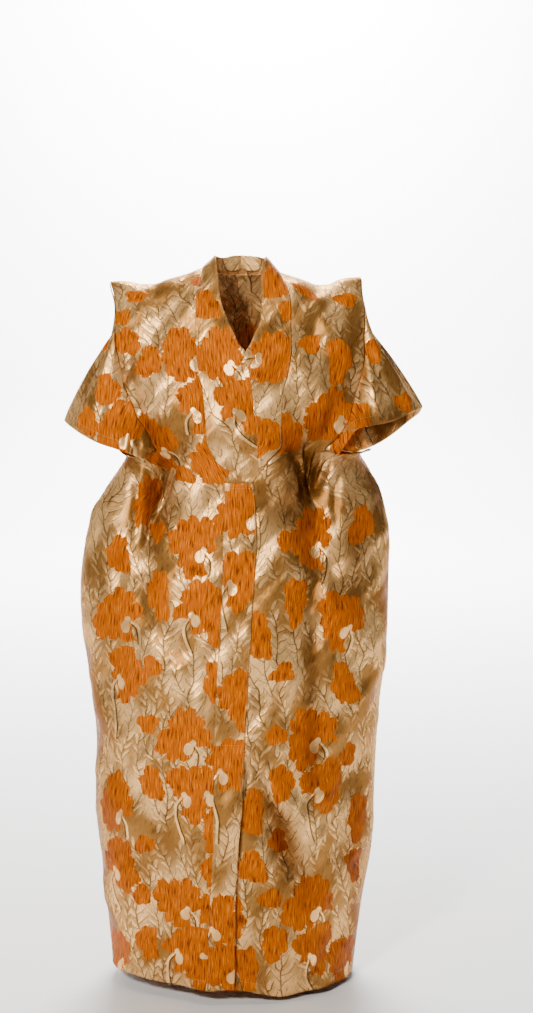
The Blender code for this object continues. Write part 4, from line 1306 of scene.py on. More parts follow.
@dataclass
class BackPiece:
    """The back in one panel with its neckline."""

    form: RobeForm
    builder: ClothBuilder
    inner_steps: int = 38
    flank_steps: int = 24
    neck_steps: int = 28
    dip: SeamDip = field(default_factory=SeamDip)

    def build(self, material: bpy.types.Material) -> ClothGrid:
        """Builds the back.

        Args:
            material: its cloth.

        Returns:
            Its grid.
        """
        neck = np.linspace(-0.064, 0.084, self.neck_steps)
        drop = ROWS[:, None]
        xs = neck[None, :] * (1 + 0.25 * smooth(drop / 0.5))
        inner = self.form.angle(xs, np.repeat(drop, len(neck), axis=1))
        turn = self.form.turn(ROWS)[:, None]
        share = np.linspace(0, 1, self.inner_steps)[None, 1:]
        more = np.linspace(0, 1, self.flank_steps)[None, 1:]
        sides = []
        for side, start in ((-1, inner[:, :1]), (1, inner[:, -1:])):
            near = start + (side * turn - start) * share
            sides.append(np.concatenate([near, side * turn + side * (math.pi / 2 - turn) * more], axis=1))
        angle = np.concatenate([sides[0][:, ::-1], inner, sides[1]], axis=1)
        low = BACK_NECK_DROP * np.maximum(0.0, 1 - ((xs - NECK_CENTRE) / NECK_HALF) ** 2) * np.maximum(0.0, 1 - drop / 0.08)
        pad = np.zeros((len(ROWS), sides[0].shape[1]))
        down = drop + np.concatenate([pad, low, pad], axis=1)
        points = self.form.folded(angle, down, Face.BACK)
        normals = self.form.normal(angle, down, Face.BACK)
        middle = angle.shape[1] // 2
        flat = flat_places(points, middle)
        for c in (0, angle.shape[1] - 1):
            away = np.abs(flat[..., 0] - flat[:, c : c + 1, 0])
            points = points + normals * self.dip.at(away, flat[..., 1])[..., None]
        row, col = np.mgrid[: len(ROWS) - 1, : angle.shape[1] - 1]
        flank = self.flank_steps - 1
        keep = (row >= ARMHOLE_ROW) | ((col >= flank) & (col < angle.shape[1] - 1 - flank))
        grid = ClothGrid(points, normals, flat, keep)
        self.builder.build("back", grid, RepeatPlan((0.02, 0.17)), material)
        return grid


@dataclass
class NeckBands:
    """Two neck bands that meet at the middle of the back; the left one laps over the right."""

    form: RobeForm
    builder: ClothBuilder
    across_steps: int = 26
    back_steps: int = 36
    back_lap: float = 0.006

    def band_point(self, x: Array, drop: Array, lift: Array) -> Array:
        """Finds points of a band over the front, raised towards the neck at the top.

        Args:
            x: distances from the middle.
            drop: distances down from the shoulder.
            lift: how far the collar rises.

        Returns:
            The points.
        """
        point = self.form.folded(self.form.angle(x, drop), drop, Face.FRONT)
        return point + np.stack([0 * x, 0 * x, lift * np.exp(-((drop / 0.035) ** 2))], axis=-1)

    def front_rows(self, side: Side) -> tuple[Array, Array]:
        """Finds the band's points and normals down the front.

        Args:
            side: the wearer's side.

        Returns:
            Points and normals, rows x columns x 3.
        """
        last = WAIST_DROP if side is Side.RIGHT else BAND_END_DROP
        rows = ROWS[ROWS <= last + 1e-6]
        names = ("seam_right", "edge_right") if side is Side.RIGHT else ("seam_left", "edge_left")
        seam = curve(FRONT_LINES, "drop", names[0], rows)
        edge = curve(NECK_EDGES, "drop", names[1], rows)
        lap = edge + side.value * CLOSURE_LAP
        if side is Side.LEFT:
            lap = np.minimum(lap, seam - LAP - 0.0004)
        near = seam - side.value * LAP
        marks = np.stack([seam, near, (near + lap) / 2, lap, edge], axis=1)
        at = np.linspace(0, 4, self.across_steps)
        xs = np.array([np.interp(at, range(5), row) for row in marks])
        drop = np.repeat(rows[:, None], self.across_steps, axis=1)

        def place(x: Array, down: Array) -> Array:
            share = np.clip((x - seam[:, None]) / (edge - seam)[:, None], -0.1, 1.1)
            return self.band_point(x, down, COLLAR_LIFT * share)

        step = 0.002
        across = place(xs + step, drop) - place(xs - step, drop)
        fall = place(xs, drop + step) - place(xs, np.maximum(drop - step, 0.0))
        normals = np.cross(fall, across)
        normals[0, :, 1] = 0.0
        normals = unit(normals)
        layer = np.full(xs.shape, LAYER)
        if side is Side.LEFT:
            own = np.interp(at, range(5), (0, 0, 0.6, 1, 1))[None, :]
            layer = LAYER + LAYER * smooth((drop - 0.126) / 0.04) * smooth(own + smooth((drop - 0.32) / 0.03))
        return place(xs, drop) + normals * layer[..., None], normals

    def back_rows(self, side: Side, first: Array, first_normals: Array) -> tuple[Array, Array]:
        """Finds the band's points and normals from the middle of the back to the shoulder.

        Args:
            side: the wearer's side.
            first: the front's first row of points.
            first_normals: their normals.

        Returns:
            Points and normals, rows x columns x 3.
        """
        seam = -0.064 if side is Side.RIGHT else 0.084
        lean = first[-1] - first[0]
        shares = np.interp(np.linspace(0, 4, self.across_steps), range(5), (0.0, 0.16, 0.45, 0.78, 1.0))
        points, normals = [], []
        past = 1.06 if side is Side.RIGHT else 1.03
        for share in np.linspace(past, 0.0, self.back_steps + 1)[:-1]:
            x = np.array([seam + (NECK_CENTRE - seam) * share])
            drop = BACK_NECK_DROP * np.maximum(0.0, 1 - ((x - NECK_CENTRE) / NECK_HALF) ** 2)
            angle = self.form.angle(x, drop)
            foot = (self.form.folded(angle, drop, Face.BACK) + self.form.normal(angle, drop, Face.BACK) * LAYER)[0]
            ease = float(smooth(share * 1.2))
            rise = lean * (1 - ease) + np.array([0.0, -0.005, COLLAR_BACK_HEIGHT]) * ease
            out = np.array([0.0, 0.99, 0.14]) * ease + first_normals[self.across_steps // 2] * (1 - ease)
            out = out + np.array([side.value * 0.9 * (1 - share) * ease, 0.0, 0.0])
            out = unit(out - rise * out.dot(rise) / rise.dot(rise))
            lower = drop + self.back_lap * smooth(3.0 * share)
            under = (self.form.folded(angle, lower, Face.BACK) + self.form.normal(angle, lower, Face.BACK) * LAYER)[0]
            foot_share = np.maximum(0.0, 1 - shares / 0.16)[:, None]
            foot = foot + out * (0.0016 * (side is Side.RIGHT) * float(smooth((share - 0.90) / 0.08)))
            points.append(foot + shares[:, None] * rise + (under - foot) * foot_share + np.array([0.0, 0.0, SEAM_TRIM]))
            normals.append(np.repeat(out[None, :], self.across_steps, axis=0))
        return np.array(points), np.array(normals)

    def build(self, side: Side, material: bpy.types.Material) -> ClothGrid:
        """Builds one band.

        Args:
            side: the wearer's side.
            material: its cloth.

        Returns:
            Its grid.
        """
        front, front_normals = self.front_rows(side)
        back, back_normals = self.back_rows(side, front[0], front_normals[0])
        points = np.concatenate([back, front])
        normals = np.concatenate([back_normals, front_normals])
        flat = flat_places(points, 0)
        grid = ClothGrid(points, normals, flat, np.ones((len(points) - 1, self.across_steps - 1), bool))
        name = "neck_band_right" if side is Side.RIGHT else "neck_band_left"
        table = RIGHT_BAND_BLOOMS if side is Side.RIGHT else LEFT_BAND_BLOOMS
        self.builder.build(name, grid, BloomPlan(table, Face.FRONT), material)
        return grid


@dataclass
class Sleeves:
    """Two short flared sleeves that start at the armholes."""

    form: RobeForm
    builder: ClothBuilder
    reach_steps: int = 44
    wave_height: float = 0.0022

    def ring(self, side: Side) -> tuple[Array, list[tuple[float, int]]]:
        """Finds the armhole: tip, down the front, underarm and up the back.

        Args:
            side: the wearer's side.

        Returns:
            Its points, and how far round and on which half each one is.
        """
        drops = ROWS[: ARMHOLE_ROW + 1]
        turn = float(self.form.turn(ARMHOLE_DROP))
        steps = np.linspace(0, 1, 20)[1:]
        angle = np.concatenate([self.form.turn(drops), turn + (math.pi / 2 - turn) * steps]) * side.value
        drop = np.concatenate([drops, np.full(len(steps), ARMHOLE_DROP)])
        around = np.concatenate([0.8 * drops / ARMHOLE_DROP, 0.8 + 0.2 * steps])
        front = self.form.folded(angle, drop, Face.FRONT)
        back = self.form.folded(angle[-2:0:-1], drop[-2:0:-1], Face.BACK)
        places = [(float(a), -1) for a in around] + [(float(a), 1) for a in around[-2:0:-1]]
        return np.concatenate([front, back]), places

    def rings(self, side: Side) -> Array:
        """Finds the sleeve's rings from the armhole to its lower edge.

        Args:
            side: the wearer's side.

        Returns:
            Points, rings x around x 3.
        """
        right = side is Side.RIGHT
        front = SLEEVE_RIGHT_FRONT if right else SLEEVE_LEFT_FRONT
        back = SLEEVE_RIGHT_BACK if right else SLEEVE_LEFT_BACK
        start, places = self.ring(side)
        around = np.array([place[0] for place in places])
        half = np.array([place[1] for place in places])
        ends = []
        for table, face in ((front, -1), (back, 1)):
            xyz = [curve(table, "around", name, around) for name in ("x", "y", "z")]
            ends.append(np.stack([xyz[0], face * xyz[1], xyz[2]], axis=-1))
        end = np.where((half < 0)[:, None], ends[0], ends[1])
        line = unit(np.roll(start, -1, axis=0) - np.roll(start, 1, axis=0))
        away = end - start
        away = unit(away - line * (away * line).sum(axis=1, keepdims=True))
        away[:, 2] += 1.5 * smooth((around - 0.76) / 0.10)
        gap = SLEEVE_GAP * (1 + smooth((0.07 - around) / 0.07))
        start = start + unit(away) * gap[:, None]
        rings = []
        for reach in np.linspace(0, 1, self.reach_steps):
            ring = start + (end - start) * reach
            ring[:, 0] -= side.value * curve(SLEEVE_FALL, "reach", "shift", reach) * smooth((0.25 - around) / 0.25)
            fullness = math.sin(math.pi * reach) * np.sin(math.pi * np.minimum(1.0, around / 0.8))
            ring[:, 1] += half * 0.010 * fullness
            rings.append(ring)
        return np.array(rings)

    def build(self, side: Side, material: bpy.types.Material) -> ClothGrid:
        """Builds one sleeve.

        Args:
            side: the wearer's side.
            material: its cloth.

        Returns:
            Its grid.
        """
        rings = self.rings(side)
        high, wide = rings.shape[:2]
        normals = unit(np.cross(np.roll(rings, -1, axis=1) - np.roll(rings, 1, axis=1), np.gradient(rings, axis=0)))
        if ((rings - rings.mean(axis=1, keepdims=True)) * normals).sum() < 0:
            normals = -normals
        reach = np.linspace(0, 1, high)[:, None]
        around = np.linspace(0, 2 * math.pi, wide, endpoint=False)[None, :]
        soft = np.sin(9 * around + 2.2 * reach + side.value) + 0.6 * np.sin(17 * around - 3.0 * reach)
        rings = rings + normals * (self.wave_height * smooth(reach / 0.5) * soft * smooth((1.02 - reach) / 0.1))[..., None]
        cut = flat_places(rings, 0, closed=True)
        places = self.ring(side)[1]
        far = np.array([place[0] for place in places])
        half = np.array([place[1] for place in places])
        lean = -0.6 * side.value * half * smooth(np.minimum(far, 1 - far) / 0.15)
        flat = np.stack([rings[..., 0] + lean * rings[..., 1], -rings[..., 2]], axis=-1)
        flat = np.concatenate([flat, flat[:, :1]], axis=1)
        size = (float(np.ptp(cut[..., 0])), float(cut[-1, :, 1].mean()))
        grid = ClothGrid(rings, normals, flat, np.ones((high - 1, wide), bool), closed=True, size=size)
        right = side is Side.RIGHT
        table = RIGHT_SLEEVE_BLOOMS if right else LEFT_SLEEVE_BLOOMS
        self.builder.build("sleeve_right" if right else "sleeve_left", grid, BloomPlan(table, Face.FRONT), material)
        return grid


class Signal:
    """A value in a material's node tree that plain arithmetic works on."""

    def __init__(self, tree: bpy.types.NodeTree, socket: bpy.types.NodeSocket) -> None:
        """Keeps the socket.

        Args:
            tree: the node tree.
            socket: the value.
        """
        self.tree = tree
        self.socket = socket

    def math(self, operation: str, *others: "Signal | float") -> "Signal":
        """Adds one math node.

        Args:
            operation: its operation.
            others: its other inputs.

        Returns:
            Its result.
        """
        node = self.tree.nodes.new("ShaderNodeMath")
        node.operation = operation
        for i, value in enumerate((self, *others)):
            if isinstance(value, Signal):
                self.tree.links.new(value.socket, node.inputs[i])
            else:
                node.inputs[i].default_value = value
        return Signal(self.tree, node.outputs[0])

    def __add__(self, other: "Signal | float") -> "Signal":
        """Adds.

        Args:
            other: what is added.

        Returns:
            The sum.
        """
        return self.math("ADD", other)

    def __sub__(self, other: "Signal | float") -> "Signal":
        """Takes away.

        Args:
            other: what is taken away.

        Returns:
            The difference.
        """
        return self.math("SUBTRACT", other)

    def __mul__(self, other: "Signal | float") -> "Signal":
        """Multiplies.

        Args:
            other: the factor.

        Returns:
            The product.
        """
        return self.math("MULTIPLY", other)

    def __truediv__(self, other: "Signal | float") -> "Signal":
        """Divides.

        Args:
            other: the divisor.

        Returns:
            The quotient.
        """
        return self.math("DIVIDE", other)

    def step(self, low: float, high: float) -> "Signal":
        """Eases from 0 to 1.

        Args:
            low: where it is 0.
            high: where it is 1.

        Returns:
            The eased value.
        """
        node = self.tree.nodes.new("ShaderNodeMapRange")
        node.interpolation_type = "SMOOTHSTEP"
        self.tree.links.new(self.socket, node.inputs["Value"])
        node.inputs["From Min"].default_value = low
        node.inputs["From Max"].default_value = high
        return Signal(self.tree, node.outputs["Result"])

    def falls(self, low: float, high: float) -> "Signal":
        """Eases from 1 to 0.

        Args:
            low: where it is 1.
            high: where it is 0.

        Returns:
            The eased value.
        """
        return self.step(low, high) * -1.0 + 1.0


@dataclass
class Weave:
    """Helps to read maps and noise in a cloth material."""

    tree: bpy.types.NodeTree

    def map(self, name: str) -> tuple[Signal, Signal]:
        """Reads a map.

        Args:
            name: the map's name.

        Returns:
            Its two values.
        """
        node = self.tree.nodes.new("ShaderNodeUVMap")
        node.uv_map = name
        split = self.tree.nodes.new("ShaderNodeSeparateXYZ")
        self.tree.links.new(node.outputs["UV"], split.inputs[0])
        return Signal(self.tree, split.outputs[0]), Signal(self.tree, split.outputs[1])

    def noise(self, u: Signal, v: Signal, detail: float = 2.0, offset: float = 0.0) -> Signal:
        """Makes soft noise.

        Args:
            u: place across.
            v: place down.
            detail: how fine it is.
            offset: picks another noise.

        Returns:
            The noise, about 0.5.
        """
        join = self.tree.nodes.new("ShaderNodeCombineXYZ")
        self.tree.links.new(u.socket, join.inputs[0])
        self.tree.links.new(v.socket, join.inputs[1])
        join.inputs[2].default_value = offset
        node = self.tree.nodes.new("ShaderNodeTexNoise")
        node.inputs["Scale"].default_value = 1.0
        node.inputs["Detail"].default_value = detail
        self.tree.links.new(join.outputs[0], node.inputs["Vector"])
        return Signal(self.tree, node.outputs["Fac"])

    def blend(self, share: Signal, first: object, second: object, mode: str = "MIX") -> bpy.types.NodeSocket:
        """Mixes two colours.

        Args:
            share: 0 for the first, 1 for the second.
            first: a colour or a socket.
            second: a colour or a socket.
            mode: the mix node's way of mixing.

        Returns:
            The mixed colour's socket.
        """
        node = self.tree.nodes.new("ShaderNodeMix")
        node.data_type = "RGBA"
        node.blend_type = mode
        self.tree.links.new(share.socket, node.inputs[0])
        for at, value in ((6, first), (7, second)):
            if isinstance(value, bpy.types.NodeSocket):
                self.tree.links.new(value, node.inputs[at])
            else:
                node.inputs[at].default_value = (*value, 1.0)
        return node.outputs[2]


@dataclass(frozen=True)
class BrocadeFinish:
    """Satin brocade with orange blossoms on champagne, leaves tone on tone."""

    cream: tuple[float, float, float] = (1.00, 0.58, 0.22)
    tan: tuple[float, float, float] = (0.36, 0.165, 0.040)
    # Dark brown of the woven strokes, blossom outlines, leaf veins and stems, and of the painted shadow beside each
    # leaf
    shade: tuple[float, float, float] = (0.050, 0.019, 0.003)
    orange: tuple[float, float, float] = (0.50, 0.110, 0.0)
    # Painted highlight on the ridges of the petals' puckered threads and painted shade in the furrows between them
    ridge_highlight: tuple[float, float, float] = (0.80, 0.230, 0.0)
    furrow_shade: tuple[float, float, float] = (0.085, 0.010, 0.0)
    # Colour that multiplies the base colour where shade is painted
    painted_shade_colour: tuple[float, float, float] = (0.22, 0.13, 0.05)
    metallic: float = 0.60
    satin: float = 0.30
    matte: float = 0.62
    spray_pitch: float = 0.046
    leaf_pitch: float = 0.021
    leaf_length: float = 0.021

    def blossoms(self, weave: Weave, u: Signal, v: Signal) -> tuple[Signal, Signal, Signal]:
        """Draws the blossoms with their calyx and stem.

        Args:
            weave: the tree's helper.
            u: place across the cloth.
            v: place down the cloth.

        Returns:
            Shares of orange, of pale calyx and of dark outline.
        """
        x, y = weave.map("Bloom")
        code, start = weave.map("BloomShape")
        side = (code / 100.0 + 0.05).math("FLOOR") - 1.0
        lobes = code - (side + 1.0) * 100.0
        wobble = weave.noise(u * 95.0, v * 95.0, 2.0, 3.0) - 0.5
        far = (x * x + y * y).math("SQRT")
        turn = y.math("ARCTAN2", x)
        scallop = (turn * lobes * 0.5 + start).math("SINE").math("ABSOLUTE").math("POWER", 0.50)
        reach = scallop * 0.21 + (turn * 2.0 + start * 1.7).math("COSINE") * 0.08 + wobble * 0.34 + 0.76
        reach = reach + (turn * 3.0 + start * 2.3).math("COSINE") * 0.12 + (turn * 5.0 - start).math("SINE") * 0.04
        petal = (reach - far).step(-0.015, 0.03)
        mirrored = x * (side + 0.0001)
        has = side.math("ABSOLUTE").step(0.4, 0.6)
        bite = ((mirrored - 0.74) * (mirrored - 0.74) + (y + 0.60) * (y + 0.60)).math("SQRT").falls(0.36, 0.40) * has
        drop = ((mirrored - 0.20) * (mirrored - 0.20) + (y + 0.38) * (y + 0.38) * 0.70).math("SQRT")
        tail = ((mirrored - 0.33) * (mirrored - 0.33) * 0.8 + (y + 0.17) * (y + 0.17)).math("SQRT") + 0.07
        drop = drop.math("SMOOTH_MIN", tail, 0.05)
        calyx = drop.falls(0.155, 0.185) * has
        ring = drop.falls(0.185, 0.235) * has
        path = (y * -1.0 - 0.05).step(0.0, 0.55) * 0.34 - (y * -1.0 - 0.75).step(0.0, 1.1) * 0.30 + 0.24
        beside = mirrored - path
        below = (y * -1.0).step(0.02, 0.10) * has
        stem = beside.math("ABSOLUTE").falls(0.020, 0.045) * below
        pale = (beside - 0.075).math("ABSOLUTE").falls(0.045, 0.070) * below
        open_petal = petal * ((bite * -1.0) + 1.0) * ((calyx * -1.0) + 1.0) * ((pale * -1.0) + 1.0)
        outline = (stem.math("MAXIMUM", ring * 0.5)) * ((calyx * -1.0) + 1.0)
        return open_petal, calyx.math("MAXIMUM", pale), outline

    def leaves(
        self, weave: Weave, u: Signal, v: Signal, pitch: float, lean: float, offset: float
    ) -> tuple[Signal, Signal]:
        """Draws upright sprays of small leaves.

        Args:
            weave: the tree's helper.
            u: place across the cloth.
            v: place down the cloth.
            pitch: distance between the sprays.
            lean: how far they lean.
            offset: picks other sprays.

        Returns:
            Shares of leaf and of the dark lines: a painted shadow beside each leaf, its vein and the stem.
        """
        slanted = u + v * lean + (weave.noise(u * 8.0, v * 8.0, 2.0, offset) - 0.5) * 0.075
        number = (slanted / pitch).math("FLOOR")
        across = slanted - (number + 0.5) * pitch
        across = across + (v * 41.0 + number * 2.1 + offset).math("SINE") * 0.007
        away = across.math("ABSOLUTE")
        left = across.step(-0.0002, 0.0002)
        bent = v + away * 1.15 + (weave.noise(u * 36.0, v * 36.0, 1.0, offset + 20.0) - 0.5) * 0.020
        cell = bent / self.leaf_pitch + left * 0.47 + number * 0.37
        within = cell.math("FRACT") - 0.5
        dice = ((cell.math("FLOOR") * 12.9 + number * 78.2 + left * 37.7 + offset).math("SINE") * 437.5).math("FRACT")
        length = away / (dice.math("ABSOLUTE") * 0.016 + (self.leaf_length - 0.009))
        width = length.math("MAXIMUM", 0.0001).math("POWER", 0.50) * ((length * -1.0) + 1.0).math("MAXIMUM", 0.0) * 0.70
        leaf = (width - within.math("ABSOLUTE")).step(-0.015, 0.05)
        # Painted shadow: a copy of the leaf shifted to one side, dark where the leaf doesn't cover it
        edge = (width - (within - 0.13).math("ABSOLUTE")).step(-0.01, 0.05) * ((leaf * -1.0) + 1.0)
        vein = within.math("ABSOLUTE").falls(0.012, 0.040) * leaf * 0.5
        stem = away.falls(0.0007, 0.0016)
        return leaf, (edge * 0.9).math("MAXIMUM", vein).math("MAXIMUM", stem)

    def make(self, name: str) -> bpy.types.Material:
        """Builds the material.

        Args:
            name: its name.

        Returns:
            The material.
        """
        material = bpy.data.materials.new(name)
        material.use_nodes = True
        tree = material.node_tree
        weave = Weave(tree)
        shader = tree.nodes["Principled BSDF"]
        u, v = weave.map("Cloth")
        petal, calyx, outline = self.blossoms(weave, u, v)
        leaf_a, leaf_lines_and_shadow_a = self.leaves(weave, u, v, self.spray_pitch, 0.05, 1.0)
        leaf_b, leaf_lines_and_shadow_b = self.leaves(weave, u, v, 0.033, -0.32, 7.0)
        choose = weave.noise(u * 11.0, v * 6.0, 1.0, 5.0).step(0.50, 0.54)
        leaf = leaf_b + (leaf_a - leaf_b) * choose
        dark = leaf_lines_and_shadow_b + (leaf_lines_and_shadow_a - leaf_lines_and_shadow_b) * choose
        patches = weave.noise(u * 13.0, v * 9.0, 2.0, 11.0)
        dense = patches.step(0.38, 0.50)
        strokes = weave.noise(u * 310.0 + v * 120.0, v * 60.0, 2.0, 2.0)
        ground = weave.blend(patches.step(0.40, 0.66), self.tan, self.cream)
        ground = weave.blend(strokes.step(0.52, 0.70) * 0.55, ground, self.shade)
        ground = weave.blend(leaf * dense * 0.92, ground, self.cream)
        # Dark lines of the sprays: painted shadow beside each leaf, with the woven veins and stems
        ground = weave.blend(dark * dense * 0.80, ground, self.shade)
        ground = weave.blend(calyx, ground, self.cream)
        ground = weave.blend(outline * 0.85, ground, self.shade)
        bend = weave.noise(u * 30.0, v * 24.0, 1.0, 9.0) * 2.4
        # Furrows of the petals: painted shade where they are deep, painted highlight on the ridges between them
        petal_furrows = weave.noise(u * 430.0 + bend, v * 38.0, 2.0, 4.0)
        flower = weave.blend(petal_furrows.step(0.53, 0.66) * 0.85, self.orange, self.furrow_shade)
        flower = weave.blend(petal_furrows.falls(0.33, 0.44) * 0.80, flower, self.ridge_highlight)
        colour = weave.blend(petal, ground, flower)
        # Painted shade: the base colour darkened by the shade map of the listed places and crease troughs
        colour = weave.blend(weave.map("Tone")[0], colour, self.painted_shade_colour, "MULTIPLY")
        tree.links.new(colour, shader.inputs["Base Color"])
        rough = (leaf * dense).math("MAXIMUM", calyx) * -0.10 + patches * 0.18 + (self.satin - 0.04)
        rough = rough + (petal * (self.matte - self.satin))
        tree.links.new(rough.socket, shader.inputs["Roughness"])
        metal = (petal * -0.75 + 1.0) * self.metallic
        tree.links.new(metal.socket, shader.inputs["Metallic"])
        shader.inputs["Specular IOR Level"].default_value = 0.20
        shader.inputs["Specular Tint"].default_value = (0.40, 0.24, 0.11, 1.0)
        crinkle = weave.noise(u * 52.0, v * 34.0, 3.0, 6.0)
        fine = (u * 5200.0).math("SINE") * 0.03 + (v * 4300.0).math("SINE") * 0.03
        height = crinkle * 1.5 + petal * 0.30 + leaf * dense * 0.16 - dark * dense * 0.10 - petal_furrows * petal * 0.35 + strokes * 0.25 + fine
        bump = tree.nodes.new("ShaderNodeBump")
        bump.inputs["Strength"].default_value = 0.55
        bump.inputs["Distance"].default_value = 0.0016
        tree.links.new(height.socket, bump.inputs["Height"])
        tree.links.new(bump.outputs["Normal"], shader.inputs["Normal"])
        LOG.info("%s: %d nodes", name, len(tree.nodes))
        return material


@dataclass(frozen=True)
class ThreadFinish:
    """Sewing thread."""

    colour: tuple[float, float, float] = (0.52, 0.30, 0.12)
    roughness: float = 0.45

    def make(self, name: str) -> bpy.types.Material:
        """Builds the material.

        Args:
            name: its name.

        Returns:
            The material.
        """
        material = bpy.data.materials.new(name)
        material.use_nodes = True
        shader = material.node_tree.nodes["Principled BSDF"]
        shader.inputs["Base Color"].default_value = (*self.colour, 1.0)
        shader.inputs["Roughness"].default_value = self.roughness
        return material


@dataclass
class Stitching:
    """Rows of single stitches that lie on the cloth."""

    length: float = 0.0030
    gap: float = 0.0014
    radius: float = 0.00032
    lift: float = WALL / 2 + 0.00012
    vertices: list[Array] = field(default_factory=list)
    faces: list[Array] = field(default_factory=list)

    def sew(self, points: Array, normals: Array) -> None:
        """Adds stitches along a line.

        Args:
            points: the line on the cloth's middle surface.
            normals: the cloth's outward normals along it.
        """
        steps = np.linalg.norm(np.diff(points, axis=0), axis=1)
        at = np.concatenate([[0.0], np.cumsum(steps)])
        centres = np.arange(self.length, at[-1] - self.length, self.length + self.gap)
        for centre in centres:
            reach = 0.5 * self.length
            ends = [np.array([np.interp(centre + d, at, points[:, k]) for k in range(3)]) for d in (-reach, reach)]
            normal = unit(np.array([np.interp(centre, at, normals[:, k]) for k in range(3)]))
            self.add(ends[0] + normal * self.lift, ends[1] + normal * self.lift, normal)

    def add(self, start: Array, end: Array, normal: Array) -> None:
        """Adds one stitch.

        Args:
            start: its first end.
            end: its last end.
            normal: the cloth's outward normal.
        """
        along = unit(end - start)
        beside = unit(np.cross(along, normal))
        up = np.cross(beside, along)
        base = sum(len(part) for part in self.vertices)
        turns = np.arange(6) * math.pi / 3
        for share, wide in ((0.0, 0.35), (0.2, 0.95), (0.8, 0.95), (1.0, 0.35)):
            centre = start + (end - start) * share - up * (0.5 * self.radius * (wide < 0.5))
            ring = beside[None, :] * np.cos(turns)[:, None] + up[None, :] * np.sin(turns)[:, None]
            self.vertices.append(centre + ring * self.radius * wide)
        for ring in range(3):
            for k in range(6):
                n = (k + 1) % 6
                low, high = base + ring * 6, base + (ring + 1) * 6
                self.faces.append(np.array([low + k, low + n, high + n, high + k]))
        self.faces.append(np.array([base + 5, base + 4, base + 3, base + 2, base + 1, base]))
        self.faces.append(np.array([base + 18, base + 19, base + 20, base + 21, base + 22, base + 23]))

    def build(self, name: str, material: bpy.types.Material) -> bpy.types.Object:
        """Makes one object of all the stitches.

        Args:
            name: its name.
            material: its thread.

        Returns:
            The object.
        """
        mesh = bpy.data.meshes.new(name)
        mesh.from_pydata(np.concatenate(self.vertices).tolist(), [], [face.tolist() for face in self.faces])
        mesh.materials.append(material)
        mesh.shade_smooth()
        thing = bpy.data.objects.new(name, mesh)
        bpy.context.scene.collection.objects.link(thing)
        LOG.info("%s: %d faces", name, len(self.faces))
        return thing


@dataclass
class Studio:
    """Pale floor that curves up behind, soft lamps and the camera."""

    floor_z: float = -1.430
    camera_place: tuple[float, float, float] = (0.061, -3.0, -0.23)
    camera_tilt: float = 4.6
    lens: float = 53.31

    def floor(self) -> None:
        """Makes the floor."""
        profile = [(-7.0, 0.0), (8.5, 0.0)]
        profile += [(8.5 + 1.2 * math.sin(a), 1.2 - 1.2 * math.cos(a)) for a in np.linspace(0.1, math.pi / 2, 14)]
        profile.append((9.7, 7.0))
        vertices = [(x, y, self.floor_z + z) for y, z in profile for x in (-9.0, 9.0)]
        faces = [(2 * i, 2 * i + 1, 2 * i + 3, 2 * i + 2) for i in range(len(profile) - 1)]
        mesh = bpy.data.meshes.new("floor")
        mesh.from_pydata(vertices, [], faces)
        mesh.shade_smooth()
        material = bpy.data.materials.new("floor")
        material.use_nodes = True
        shader = material.node_tree.nodes["Principled BSDF"]
        shader.inputs["Base Color"].default_value = (0.92, 0.92, 0.92, 1.0)
        shader.inputs["Roughness"].default_value = 0.8
        mesh.materials.append(material)
        thing = bpy.data.objects.new("floor", mesh)
        bpy.context.scene.collection.objects.link(thing)

    def lamp(
        self, name: str, place: Sequence[float], aim: Sequence[float], size: float, power: float, colour: Sequence[float]
    ) -> None:
        """Makes one soft lamp.

        Args:
            name: its name.
            place: where it stands.
            aim: what it points at.
            size: its width.
            power: its power in watts.
            colour: its colour.
        """
        data = bpy.data.lights.new(name, "AREA")
        data.size = size
        data.energy = power
        data.color = colour
        thing = bpy.data.objects.new(name, data)
        thing.location = place
        thing.rotation_euler = (Vector(aim) - Vector(place)).to_track_quat("-Z", "Y").to_euler()
        bpy.context.scene.collection.objects.link(thing)

    def camera(self) -> None:
        """Makes the camera."""
        data = bpy.data.cameras.new("camera")
        data.lens = self.lens
        data.sensor_width = 36.0
        data.clip_end = 60.0
        thing = bpy.data.objects.new("camera", data)
        thing.location = self.camera_place
        thing.rotation_euler = (math.radians(90.0 - self.camera_tilt), 0.0, 0.0)
        bpy.context.scene.collection.objects.link(thing)
        bpy.context.scene.camera = thing

    def build(self) -> None:
        """Sets up the studio."""
        self.floor()
        warm = (1.0, 0.95, 0.88)
        self.lamp("key", (-1.1, -2.7, 0.7), (0.0, 0.0, -0.8), 0.4, 104.0, warm)
        self.lamp("top", (0.0, -0.8, 1.8), (0.0, 0.0, -0.4), 0.4, 15.0, warm)
        self.lamp("floor", (0.0, 2.6, 3.4), (0.0, 4.6, -1.4), 2.0, 700.0, (1.0, 1.0, 1.0))
        self.lamp("wall", (0.0, 6.4, 4.4), (0.0, 9.7, 0.4), 3.0, 3200.0, (1.0, 1.0, 1.0))
        world = bpy.data.worlds.new("studio")
        bpy.context.scene.world = world
        world.use_nodes = True
        back = world.node_tree.nodes["Background"]
        back.inputs["Color"].default_value = (1.0, 0.98, 0.95, 1.0)
        back.inputs["Strength"].default_value = 0.05
        self.camera()


@dataclass(frozen=True)
class SheetFacts:
    """How one piece is held as a sheet of cloth and what it rests on; the script reads only its node name."""

    node: str
    held: Held
    rests_on: tuple[str, ...] = ()


